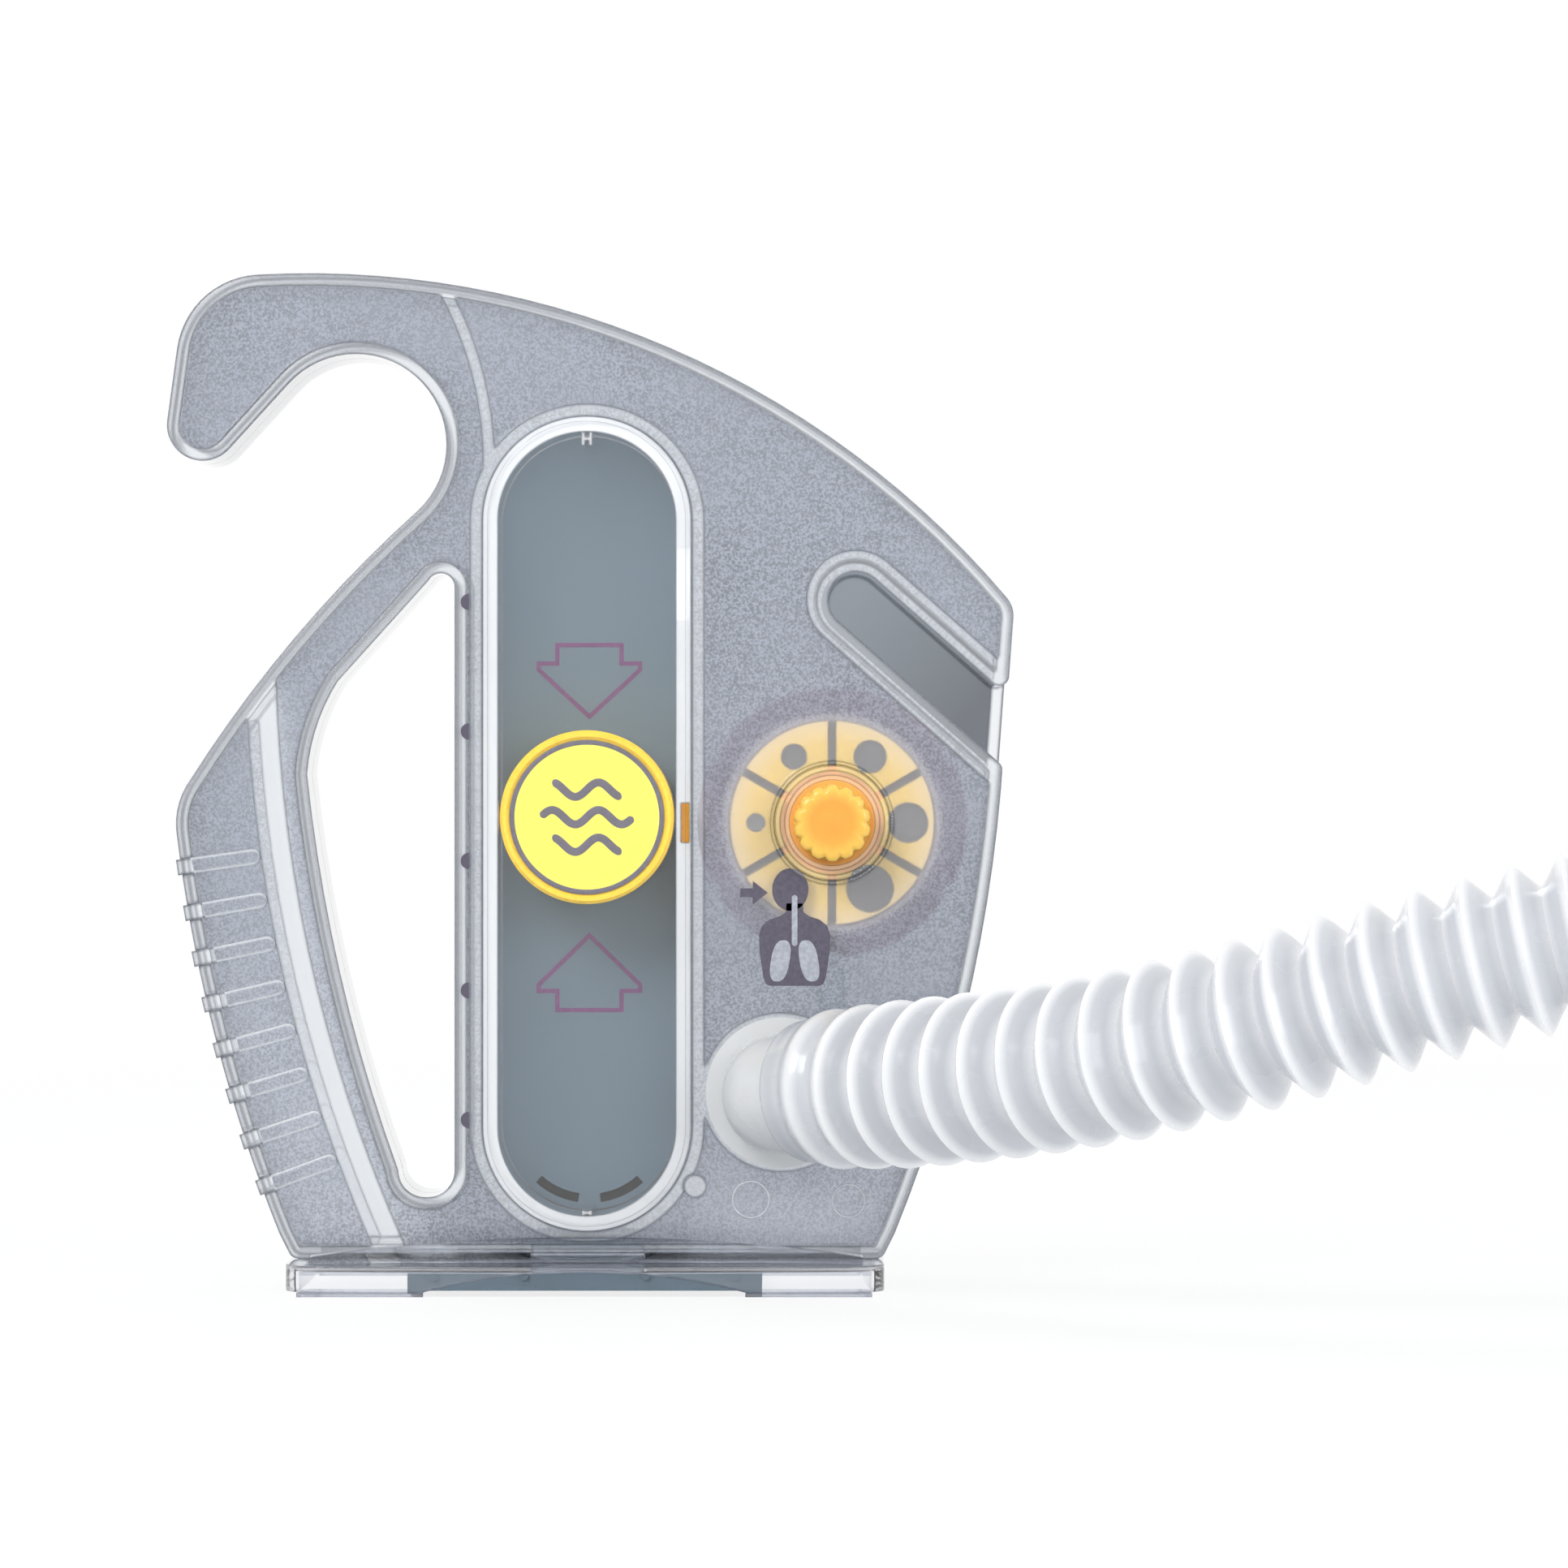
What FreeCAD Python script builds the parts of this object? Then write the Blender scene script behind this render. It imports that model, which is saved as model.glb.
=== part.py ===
import FreeCAD, Part
import math
import os
import Sketcher
from FreeCAD import Placement, Rotation, Vector

# Incentive spirometer: a flat moulded housing with a bed-rail hook and a hand grip, a float that
# rises in a clear column, a dial that picks the flow, and a corrugated hose with its mouthpiece.
# X is to the right, Y to the back and Z up. The housing halves meet at Y = 0, the feet stand at
# Z = 0, and the column's axis is at X = 0. Sizes are in millimetres and degrees.

SIZES = [
    # Housing halves
    ("body_depth", 24.0, "front to back over both halves"),
    ("wall", 2.0, "wall of the housing"),
    ("rim_width", 2.0, "polished bead round every edge"),
    ("rim_height", 0.6, "bead proud of the frosted face"),
    ("body_foot", 5.0, "height of the housing's underside"),
    ("foot_half", 47.2, "half width of the underside"),
    ("waist_height", 9.0, "height where the sides start to spread"),
    ("waist_half", 49.2, "half width there"),
    # Left side, under the hand
    ("belly_x", -60.7, "left side at its middle"),
    ("belly_z", 45.3, "height of that point"),
    ("shoulder_x", -65.6, "left side at its widest"),
    ("shoulder_z", 72.6, "height of that point"),
    ("knuckle_x", -63.4, "start of the slope up to the hook"),
    ("knuckle_z", 81.7, "height of that point"),
    ("knuckle_bulge", 0.94, "round of the side between shoulder and slope"),
    ("slope_x", -48.2, "middle of the slope"),
    ("slope_z", 102.6, "height of that point"),
    # Hook
    ("hook_x", -37.0, "centre of the rail hook"),
    ("hook_z", 135.2, "height of that centre"),
    ("hook_radius", 14.5, "inside radius of the hook"),
    ("throat_angle", -47.0, "where the slope runs into the hook"),
    ("tip_x", -61.5, "centre of the hook's round tip"),
    ("tip_z", 138.3, "height of that centre"),
    ("tip_radius", 5.7, "round of the tip"),
    ("brow_radius", 13.7, "round over the tip"),
    ("brow_angle", 93.2, "where that round meets the crown"),
    # Crown and right side
    ("crown_x", -44.6, "centre of the long curve on top"),
    ("crown_z", 16.3, "height of that centre"),
    ("crown_radius", 146.3, "radius of the long curve"),
    ("corner_angle", 40.2, "where the crown ends"),
    ("corner_radius", 4.5, "round at the right corner"),
    ("side_x", 66.2, "right side where it starts to taper"),
    ("side_z", 80.0, "height of that point"),
    ("flank_x", 60.4, "right side at half height"),
    ("flank_z", 44.0, "height of that point"),
    # Finger window behind the grip
    ("window_right", -21.2, "right edge of the window"),
    ("window_foot", 14.8, "lower edge of the window"),
    ("window_round", 4.3, "lower corners of the window"),
    ("window_heel_x", -30.2, "left edge near the bottom"),
    ("window_mid_x", -39.7, "left edge at half height"),
    ("window_mid_z", 51.5, "height of that point"),
    ("window_wide_x", -44.8, "left edge at its widest"),
    ("window_wide_z", 82.5, "height of that point"),
    ("window_turn_x", -39.9, "start of the sloping edge"),
    ("window_turn_z", 97.3, "height of that point"),
    ("window_peak_x", -25.4, "end of the sloping edge"),
    ("window_peak_z", 113.4, "height of that point"),
    ("window_peak_round", 1.2, "rise of the round over the peak"),
    ("window_turn_round", 1.0, "bulge of the round at the widest point"),
    # Parking slot for the mouthpiece
    ("slot_x", 43.0, "centre of the slot's round end"),
    ("slot_z", 110.4, "height of that centre"),
    ("slot_half", 4.4, "half width of the slot"),
    ("slot_angle", -41.4, "lean of the slot"),
    ("slot_run", 60.0, "length cut, past the right side"),
    ("slot_band", 3.6, "raised band round the slot"),
    ("lip_round", 1.6, "round at the slot's lips"),
    # Bead between the hook and the sealed chamber
    ("divider_top_x", -23.8, "bead at the top edge"),
    ("divider_top_z", 161.5, "height of that point"),
    ("divider_mid_x", -17.6, "bead at its middle"),
    ("divider_mid_z", 146.8, "height of that point"),
    ("divider_low_x", -15.9, "bead where it meets the column"),
    ("divider_low_z", 128.0, "height of that point"),
    # Grip
    ("strip_inset", 12.8, "side to polished strip"),
    ("strip_width", 5.0, "polished strip beside the ribs"),
    ("rib_count", 8, "finger ribs on each face"),
    ("rib_top_z", 67.6, "height of the highest rib"),
    ("rib_pitch", 7.3, "step from rib to rib"),
    ("rib_width", 2.5, "width of a rib"),
    ("rib_rise", 1.2, "rib proud of the frosted face"),
    ("rib_wrap", 0.6, "rib proud of the outer side"),
    ("rib_bite", 1.0, "depth of a rib in the side wall"),
    # Float column
    ("column_foot", 26.1, "centre of the lower round end"),
    ("column_head", 123.0, "centre of the upper round end"),
    ("channel_half", 14.2, "half width of the channel"),
    ("column_wall", 2.4, "wall of the column"),
    ("column_proud", 3.0, "column proud of the rim"),
    ("window_sheet", 1.6, "clear sheet over the channel"),
    ("sheet_bevel", 0.8, "bevel on the sheet's edge"),
    ("flange_width", 2.2, "polished flange round the column"),
    ("card_front", 1.6, "label card's face, behind the joint plane"),
    ("card_thickness", 0.4, "label card"),
    ("card_gap", 0.15, "card to channel wall"),
    ("floor_thickness", 1.4, "floor behind the card"),
    ("seam_gap", 0.05, "glued joint"),
    ("inlet_radius", 12.3, "middle of the inlet slots"),
    ("inlet_width", 1.5, "width of an inlet slot"),
    ("inlet_start", 8.0, "inlet slot from straight down, near end"),
    ("inlet_end", 42.0, "inlet slot from straight down, far end"),
    ("outlet_height", 12.0, "outlet in the column's side"),
    ("outlet_drop", 4.0, "outlet below the upper centre"),
    ("airway_width", 18.0, "way into the column's foot"),
    # Float and its stops
    ("float_radius", 13.9, "outside of the float"),
    ("float_z", 75.6, "height of the float as shown"),
    ("float_gap", 0.3, "float to sheet and to card"),
    ("float_skin", 0.9, "wall of the float's cup"),
    ("float_rim", 1.5, "width of the raised rim"),
    ("float_recess", 1.4, "rim proud of the face's seat"),
    ("face_thickness", 0.9, "face disc of the float"),
    ("face_bevel", 0.35, "bevel round the face disc"),
    ("face_gap", 0.05, "face disc to rim"),
    ("stop_width", 1.8, "width of a stop rib"),
    ("stop_bar", 0.6, "bar of a stop rib"),
    ("upper_stop", 2.2, "upper stop below the channel's end"),
    ("lower_stop", 0.9, "lower stop above the channel's end"),
    # Dial
    ("dial_x", 39.2, "dial's axis"),
    ("dial_z", 74.7, "height of the dial's axis"),
    ("dial_radius", 21.6, "outside of the dial disc"),
    ("dial_thickness", 1.6, "dial disc"),
    ("dial_gap", 0.4, "dial's front to the housing"),
    ("pad_thickness", 0.5, "coloured sector pads"),
    ("pad_inner", 8.2, "inside of the pads"),
    ("pad_outer", 16.3, "outside of the pads"),
    ("spoke_width", 1.4, "space between two pads"),
    ("port_circle", 12.2, "circle of the flow ports"),
    ("smallest_port", 3.1, "smallest flow port"),
    ("port_step", 1.15, "each port is wider by this"),
    ("rim_ring", 3.0, "thick ring round the dial"),
    ("rim_ring_rise", 1.2, "that ring behind the disc"),
    ("notch_radius", 1.3, "click notches in the rim"),
    ("notch_depth", 0.8, "depth of a click notch"),
    ("hub_radius", 5.0, "hub behind the disc"),
    ("hub_length", 5.0, "length of that hub"),
    ("axle_radius", 2.0, "dial's axle"),
    ("axle_clearance", 0.05, "axle in its bore"),
    ("axle_foot", 4.5, "foot of the axle"),
    ("knob_radius", 6.1, "outside of the knob"),
    ("knob_proud", 7.0, "knob in front of the rim"),
    ("knob_bevel", 1.2, "bevel round the knob"),
    ("flute_count", 14, "flutes round the knob"),
    ("flute_radius", 0.75, "round of a flute"),
    ("flute_depth", 0.4, "depth of a flute"),
    ("collar_outer", 9.2, "clear collar in the housing"),
    ("collar_inner", 6.8, "knob's hole in the collar"),
    ("collar_lip", 0.8, "width of the collar's two lips"),
    ("collar_proud", 1.0, "lips in front of the rim"),
    ("seal_radius", 5.6, "seal behind the chosen port"),
    ("seal_bore", 4.3, "hole of the seal and its tube"),
    ("seal_thickness", 1.0, "seal"),
    ("seal_clearance", 0.3, "seal to dial"),
    ("arm_width", 4.0, "click arm"),
    ("arm_thickness", 1.2, "leaf of the click arm"),
    ("arm_length", 12.0, "click arm below the dial"),
    ("arm_gap", 0.3, "click nose to the dial's rim"),
    ("nose_radius", 1.0, "nose of the click arm"),
    ("pointer_height", 6.2, "orange pointer by the dial"),
    ("pointer_width", 1.1, "width of the pointer"),
    ("pointer_depth", 2.4, "depth of the pointer"),
    # Hose port
    ("port_x", 31.0, "bend of the hose port"),
    ("port_z", 31.6, "height of the port"),
    ("port_reach", 6.0, "bend in front of the rim"),
    ("port_yaw", 45.0, "hose turned towards the front"),
    ("port_lift", 5.0, "hose tilted up"),
    ("port_radius", 9.5, "outside of the port"),
    ("port_wall", 1.5, "wall of the port"),
    ("port_length", 22.0, "port from its bend to its end"),
    ("port_flange", 12.0, "flange on the housing"),
    ("flange_thickness", 1.2, "that flange"),
    ("port_inside", 5.0, "port behind the front wall"),
    ("gasket_thickness", 0.4, "gasket under the flange"),
    # Base
    ("base_half", 47.4, "half width of the base"),
    ("base_depth", 64.0, "front to back of the base"),
    ("base_bow", 3.0, "bow of the front and back edges"),
    ("base_round", 7.0, "corners of the base"),
    ("base_wall", 2.0, "wall of the base"),
    ("pad_height", 0.8, "foot pads"),
    ("pad_width", 20.0, "width of a foot pad"),
    ("pad_depth", 8.0, "depth of a foot pad"),
    ("pad_inset", 2.0, "foot pad from the base's side"),
    ("flare_height", 3.4, "sloped foot against the housing"),
    ("flare_depth", 13.0, "sloped foot, front to back"),
    ("flare_half", 44.0, "half length of the sloped foot"),
    ("arch_half", 26.0, "half width of the air arch"),
    ("arch_height", 3.4, "height of the air arch"),
    ("insert_gap", 0.3, "insert to the base's wall"),
    ("insert_thickness", 1.0, "insert in the base"),
    ("peg_radius", 0.65, "pegs in the arch"),
    ("peg_inner", 9.6, "inner pegs from the middle"),
    ("peg_outer", 23.7, "outer pegs from the middle"),
    # Snaps along the seam
    ("snap_count", 5, "snaps beside the window"),
    ("snap_x", -18.9, "line of the snaps"),
    ("snap_top_z", 110.0, "height of the highest snap"),
    ("snap_pitch", 20.7, "step from snap to snap"),
    ("snap_radius", 1.3, "round of a snap"),
    ("snap_proud", 0.5, "snap in front of the rim"),
    # Gusset
    ("gusset_x", 17.3, "peg beside the column's foot"),
    ("gusset_z", 16.6, "height of the peg"),
    ("gusset_round", 1.9, "peg"),
    ("gusset_rise", 1.4, "gusset proud of the frosted face"),
    # Hose and mouthpiece
    ("hose_diameter", 26.4, "outside of the corrugations"),
    ("hose_wall", 2.4, "outside to inside of the corrugations"),
    ("cuff_radius", 11.3, "smooth cuff on the port"),
    ("cuff_start", 6.0, "cuff from the port's bend"),
    ("cuff_past", 2.0, "cuff past the port's end"),
    ("cuff_fit", 0.1, "cuff over the port"),
    ("end_cuff_length", 18.0, "smooth cuff at the mouthpiece"),
    ("mouth_length", 46.0, "mouthpiece in front of its cuff"),
    ("mouth_neck", 11.5, "round neck before it widens"),
    ("mouth_width", 29.0, "mouthpiece at the lips, wide"),
    ("mouth_height", 15.0, "mouthpiece at the lips, high"),
    ("mouth_wall", 1.6, "wall of the mouthpiece"),
    ("mouth_socket", 14.0, "mouthpiece inside its cuff"),
]

# The vent, its seal and its tube stand behind the port at nine o'clock.
VENT_X = "Sizes.dial_x - Sizes.port_circle"

# The hose's route, chosen by hand from where it leaves its first cuff. It swings forward and to the
# right, arches up and comes down beside the housing, and its mouthpiece lies on the table.
ROUTE = [
    (66.0, -53.0, 35.93),
    (95.0, -74.5, 42.3),
    (136.0, -89.5, 55.0),
    (180.0, -94.5, 64.0),
    (226.0, -91.5, 63.5),
    (268.0, -82.0, 51.0),
    (306.0, -71.5, 31.5),
    (348.0, -63.0, 16.5),
    (383.0, -58.5, 13.4),
]


def make_sheet(doc):
    """Put the driving sizes into the document's spreadsheet."""
    sheet = doc.addObject("Spreadsheet::Sheet", "Sizes")
    for row, (alias, value, note) in enumerate(SIZES, start=1):
        sheet.set(f"A{row}", note)
        sheet.set(f"B{row}", str(value))
        sheet.setAlias(f"B{row}", alias)
    doc.recompute()
    return sheet


class Sizes:
    """The sheet's cells by name, with the places that are worked out from them."""

    def __init__(self, sheet):
        for alias, _, _ in SIZES:
            setattr(self, alias, float(sheet.get(alias)))
        self.half = self.body_depth / 2
        self.column_half = self.channel_half + self.column_wall
        self.sheet_back = -self.half - self.column_proud + self.window_sheet
        self.float_front = self.sheet_back + self.float_gap
        self.float_back = self.card_front - self.float_gap
        self.dial_front = -self.half + self.wall + self.dial_gap
        self.disc_front = self.dial_front + self.pad_thickness
        self.disc_back = self.disc_front + self.dial_thickness
        self.inner_back = self.half - self.wall
        self.bend_y = -self.half - self.port_reach
        self.cuff_end = self.port_length + self.cuff_past


# Flat shapes. They lie in a sketch's own plane, whose first direction is X and second is Z.

def line(start, end):
    return Part.LineSegment(start, end).toShape()


def arc(start, middle, end):
    return Part.Arc(start, middle, end).toShape()


def spot(x, z):
    return Vector(x, z, 0)


def on_circle(centre, radius, angle):
    turn = math.radians(angle)
    return centre + Vector(radius * math.cos(turn), radius * math.sin(turn), 0)


def sweep_arc(centre, radius, start, end):
    """Arc of a circle between two angles in degrees."""
    first = on_circle(centre, radius, start)
    middle = on_circle(centre, radius, (start + end) / 2)
    return arc(first, middle, on_circle(centre, radius, end))


def filled(edges):
    return Part.Face(Part.Wire(edges))


def disc(centre, radius):
    return Part.Face(Part.Wire(Part.Circle(centre, Vector(0, 0, 1), radius).toShape()))


def rectangle(x_low, z_low, x_high, z_high):
    corners = [spot(x_low, z_low), spot(x_high, z_low), spot(x_high, z_high), spot(x_low, z_high)]
    return filled([line(corners[i], corners[(i + 1) % 4]) for i in range(4)])


def grown(face, distance):
    """The face with its edge moved out, or in where the distance is negative."""
    return plain(plain(face).makeOffset2D(distance))


def plain(shape):
    """One face where there is one, and else all of them together."""
    if len(shape.Faces) == 1:
        return shape.Faces[0]
    return Part.makeCompound(shape.Faces)


def without(face, *others):
    for other in others:
        face = face.cut(other)
    return plain(face)


def outline(size):
    """The whole front view: foot, grip side, slope, hook, crown and right side."""
    foot_left = spot(-size.foot_half, size.body_foot)
    waist_left = spot(-size.waist_half, size.waist_height)
    belly = spot(size.belly_x, size.belly_z)
    shoulder = spot(size.shoulder_x, size.shoulder_z)
    knuckle = spot(size.knuckle_x, size.knuckle_z)
    slope = spot(size.slope_x, size.slope_z)
    hook = spot(size.hook_x, size.hook_z)
    tip = spot(size.tip_x, size.tip_z)
    crown = spot(size.crown_x, size.crown_z)
    brow = on_circle(crown, size.crown_radius - size.brow_radius, size.brow_angle)
    corner = on_circle(crown, size.crown_radius - size.corner_radius, size.corner_angle)
    side = spot(size.side_x, size.side_z)
    flank = spot(size.flank_x, size.flank_z)
    waist_right = spot(size.waist_half, size.waist_height)
    foot_right = spot(size.foot_half, size.body_foot)

    # The knuckle is a round of the grip side into the slope.
    chord = knuckle - shoulder
    bulge = Vector(-chord.y, chord.x, 0).normalize() * size.knuckle_bulge
    knuckle_middle = shoulder + chord * 0.5 + bulge

    # A line that crosses between two circles touches both at one angle.
    reach = tip - hook
    bearing = math.degrees(math.atan2(reach.y, reach.x))
    crossing = math.degrees(math.acos((size.hook_radius + size.tip_radius) / reach.Length))
    mouth_angle = bearing - crossing
    # A line along two circles on one side touches them at one angle too.
    rise = brow - tip
    climb = math.degrees(math.atan2(rise.y, rise.x))
    spread = math.degrees(math.acos((size.tip_radius - size.brow_radius) / rise.Length))
    cheek_angle = climb + spread
    # The right side leaves the corner's round where it points at the side.
    fall = side - corner
    side_angle = math.degrees(math.atan2(fall.y, fall.x))
    side_angle += math.degrees(math.acos(size.corner_radius / fall.Length))

    throat = on_circle(hook, size.hook_radius, size.throat_angle)
    mouth = on_circle(hook, size.hook_radius, mouth_angle)
    edges = [
        line(foot_left, waist_left),
        arc(waist_left, belly, shoulder),
        arc(shoulder, knuckle_middle, knuckle),
        arc(knuckle, slope, throat),
        sweep_arc(hook, size.hook_radius, size.throat_angle, mouth_angle),
        line(mouth, on_circle(tip, size.tip_radius, mouth_angle + 180)),
        sweep_arc(tip, size.tip_radius, mouth_angle + 180, cheek_angle),
        line(on_circle(tip, size.tip_radius, cheek_angle), on_circle(brow, size.brow_radius, cheek_angle)),
        sweep_arc(brow, size.brow_radius, cheek_angle, size.brow_angle),
        sweep_arc(crown, size.crown_radius, size.brow_angle, size.corner_angle),
        sweep_arc(corner, size.corner_radius, size.corner_angle, side_angle),
        line(on_circle(corner, size.corner_radius, side_angle), side),
        arc(side, flank, waist_right),
        line(waist_right, foot_right),
        line(foot_right, foot_left),
    ]
    return filled(edges)


def finger_window(size):
    """The opening between the grip and the column."""
    radius = size.window_round
    lift = size.window_peak_round
    right_low = spot(size.window_right, size.window_foot + radius)
    right_high = spot(size.window_right, size.window_peak_z - lift)
    peak = spot(size.window_peak_x, size.window_peak_z)
    peak_round = spot((size.window_right + size.window_peak_x) / 2, size.window_peak_z + lift)
    turn = spot(size.window_turn_x, size.window_turn_z)
    wide = spot(size.window_wide_x, size.window_wide_z)
    turn_round = (turn + wide) / 2 - spot(size.window_turn_round, 0)
    middle = spot(size.window_mid_x, size.window_mid_z)
    heel = spot(size.window_heel_x, size.window_foot + radius)
    heel_centre = heel + spot(radius, 0)
    low_centre = right_low - spot(radius, 0)
    edges = [
        line(right_low, right_high),
        arc(right_high, peak_round, peak),
        line(peak, turn),
        arc(turn, turn_round, wide),
        arc(wide, middle, heel),
        sweep_arc(heel_centre, radius, 180, 270),
        line(heel_centre - spot(0, radius), low_centre - spot(0, radius)),
        sweep_arc(low_centre, radius, -90, 0),
    ]
    return filled(edges)


def parking_slot(size, extra=0.0):
    """The slot's round end and its straight run out past the right side."""
    end = spot(size.slot_x, size.slot_z)
    half = size.slot_half + extra
    along = on_circle(Vector(), 1.0, size.slot_angle)
    across = Vector(-along.y, along.x, 0)
    far = end + along * size.slot_run
    edges = [
        line(end + across * half, far + across * half),
        line(far + across * half, far - across * half),
        line(far - across * half, end - across * half),
        sweep_arc(end, half, size.slot_angle - 90, size.slot_angle - 270),
    ]
    return filled(edges)


def column_shape(size, half):
    """A straight-sided shape with round ends, centred on the column."""
    head = spot(0, size.column_head)
    foot = spot(0, size.column_foot)
    edges = [
        line(spot(half, size.column_foot), spot(half, size.column_head)),
        sweep_arc(head, half, 0, 180),
        line(spot(-half, size.column_head), spot(-half, size.column_foot)),
        sweep_arc(foot, half, 180, 360),
    ]
    return filled(edges)


def divider(size):
    """The bead that curves from the top edge down to the column."""
    start = spot(size.divider_top_x, size.divider_top_z)
    middle = spot(size.divider_mid_x, size.divider_mid_z)
    end = spot(size.divider_low_x, size.divider_low_z)
    curve = arc(start, middle, end).Curve
    centre = curve.Center
    radius = curve.Radius
    half = size.rim_width / 2
    band = disc(centre, radius + half).cut(disc(centre, radius - half))
    margin = size.rim_width * 2
    return band.common(rectangle(start.x - margin, end.y, end.x + margin, start.y + size.rim_width))


def grip_curve(size):
    """Centre and radius of the grip side's long curve."""
    waist = spot(-size.waist_half, size.waist_height)
    belly = spot(size.belly_x, size.belly_z)
    shoulder = spot(size.shoulder_x, size.shoulder_z)
    circle = arc(waist, belly, shoulder).Curve
    return circle.Center, circle.Radius


def grip_strip(size):
    """The polished strip that runs beside the ribs, at one distance from the grip side."""
    centre, radius = grip_curve(size)
    outer = radius - size.strip_inset
    band = disc(centre, outer).cut(disc(centre, outer - size.strip_width))
    zone = band.common(rectangle(size.shoulder_x, size.body_foot, size.window_right, size.slope_z))
    inside = grown(outline(size), -size.rim_width / 2)
    return zone.common(inside).cut(finger_window(size))


def rib_places(size):
    """Outer end of each rib and its direction, square to the grip side."""
    centre, radius = grip_curve(size)
    places = []
    for number in range(int(size.rib_count)):
        height = size.rib_top_z - size.rib_pitch * number
        across = math.sqrt(radius ** 2 - (height - centre.y) ** 2)
        end = spot(centre.x - across, height)
        places.append((end, (centre - end).normalize()))
    return places


def bar(start, end, half):
    """A straight bar with square ends."""
    along = (end - start).normalize()
    across = Vector(-along.y, along.x, 0) * half
    corners = [start - across, end - across, end + across, start + across]
    return filled([line(corners[i], corners[(i + 1) % 4]) for i in range(4)])


def grip_ribs(size):
    """The ribs on one face, each with a round inner end."""
    length = size.strip_inset - size.rib_width / 2
    half = size.rib_width / 2
    ribs = []
    for end, inward in rib_places(size):
        straight = bar(end - inward * size.rib_wrap, end + inward * length, half)
        ribs.append(straight.fuse(disc(end + inward * length, half)).removeSplitter())
    return ribs


def rib_wraps(size):
    """Where the ribs stand out of the outer side."""
    half = size.rib_width / 2
    wraps = []
    for end, inward in rib_places(size):
        wraps.append(bar(end - inward * size.rib_wrap, end + inward * size.rib_bite, half))
    return wraps


def front_profile(size):
    """The front half's outline, with the window and the parking slot cut out."""
    cut = without(outline(size), finger_window(size), parking_slot(size))
    return grown(grown(cut, -size.lip_round), size.lip_round)


def frosted_zone(size, profile):
    """The part of a face that lies below the polished beads."""
    inside = grown(profile, -size.rim_width)
    return without(inside, grip_strip(size))


# Document objects

def origin_plane(body, role):
    return [item for item in body.Origin.OriginFeatures if item.Role == role][0]


def new_body(doc, name):
    body = doc.addObject("PartDesign::Body", name)
    body.Label = name
    return body


def sketch_curve(edge):
    """The sketcher's own line, arc or circle for an edge of a flat shape."""
    start = edge.valueAt(edge.FirstParameter)
    end = edge.valueAt(edge.LastParameter)
    middle = edge.valueAt((edge.FirstParameter + edge.LastParameter) / 2)
    if not isinstance(edge.Curve, Part.Circle):
        return Part.LineSegment(start, end)
    if edge.isClosed():
        return Part.Circle(edge.Curve.Center, Vector(0, 0, 1), edge.Curve.Radius)
    if (middle - start).cross(end - middle).z < 0:
        start, end = end, start
    return Part.Arc(start, middle, end)


def add_sketch(body, name, role, shapes, offset=None):
    """A sketch of flat shapes on one of the body's own planes, set off along its normal."""
    sketch = body.newObject("Sketcher::SketchObject", f"{body.Name}_{name}")
    sketch.AttachmentSupport = [(origin_plane(body, role), "")]
    sketch.MapMode = "FlatFace"
    if offset:
        sketch.setExpression("AttachmentOffset.Base.z", offset)
    for shape in shapes:
        for edge in shape.Edges:
            sketch.addGeometry(sketch_curve(edge), False)
    return sketch


def add_pad(body, sketch, length, backwards=False):
    pad = body.newObject("PartDesign::Pad", sketch.Name + "_pad")
    pad.Profile = sketch
    pad.setExpression("Length", length)
    pad.Reversed = backwards
    return pad


def add_pocket(body, sketch, length, backwards=False):
    """A pocket that must take something away."""
    body.Document.recompute()
    before = body.Shape.Volume
    pocket = body.newObject("PartDesign::Pocket", sketch.Name + "_cut")
    pocket.Profile = sketch
    pocket.setExpression("Length", length)
    pocket.Reversed = backwards
    body.Document.recompute()
    if body.Shape.Volume >= before:
        raise RuntimeError(pocket.Name + " cuts nothing")
    return pocket


def bevel_edges(body, base, reach, chosen):
    """Chamfer the edges of a feature that the test picks."""
    body.Document.recompute()
    names = [f"Edge{i + 1}" for i, edge in enumerate(base.Shape.Edges) if chosen(edge)]
    bevel = body.newObject("PartDesign::Chamfer", base.Name + "_bevel")
    bevel.Base = (base, names)
    bevel.setExpression("Size", reach)
    return bevel


def lies_at(edge, depth):
    return all(abs(vertex.Point.y - depth) < 1e-6 for vertex in edge.Vertexes)


def back_shell(doc, size):
    """Rear half: the whole outline as a tray, with the floor of the parking slot and the vent."""
    body = new_body(doc, "back_shell")
    profile = without(outline(size), finger_window(size))
    half = add_sketch(body, "outline", "XZ_Plane", [profile], "-Sizes.seam_gap / 2")
    add_pad(body, half, "Sizes.body_depth / 2 - Sizes.seam_gap / 2", True)
    hollow = add_sketch(body, "hollow", "XZ_Plane", [grown(front_profile(size), -size.wall)])
    add_pocket(body, hollow, "Sizes.body_depth / 2 - Sizes.wall")
    slot = without(outline(size), finger_window(size), front_profile(size))
    slot = max(slot.Faces, key=lambda face: face.Area)
    add_pocket(body, add_sketch(body, "slot", "XZ_Plane", [slot]), "Sizes.body_depth / 2 - Sizes.wall")
    frost = add_sketch(body, "frost", "XZ_Plane", [frosted_zone(size, profile)], "-Sizes.body_depth / 2")
    add_pocket(body, frost, "Sizes.rim_height", True)
    vent = disc(spot(size.dial_x - size.port_circle, size.dial_z), size.seal_bore)
    add_pocket(body, add_sketch(body, "vent", "XZ_Plane", [vent]), "Sizes.body_depth")
    add_ribs(body, size, False)
    add_pocket(body, airway_sketch(body, size), "Sizes.wall * 2")
    return body


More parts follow.
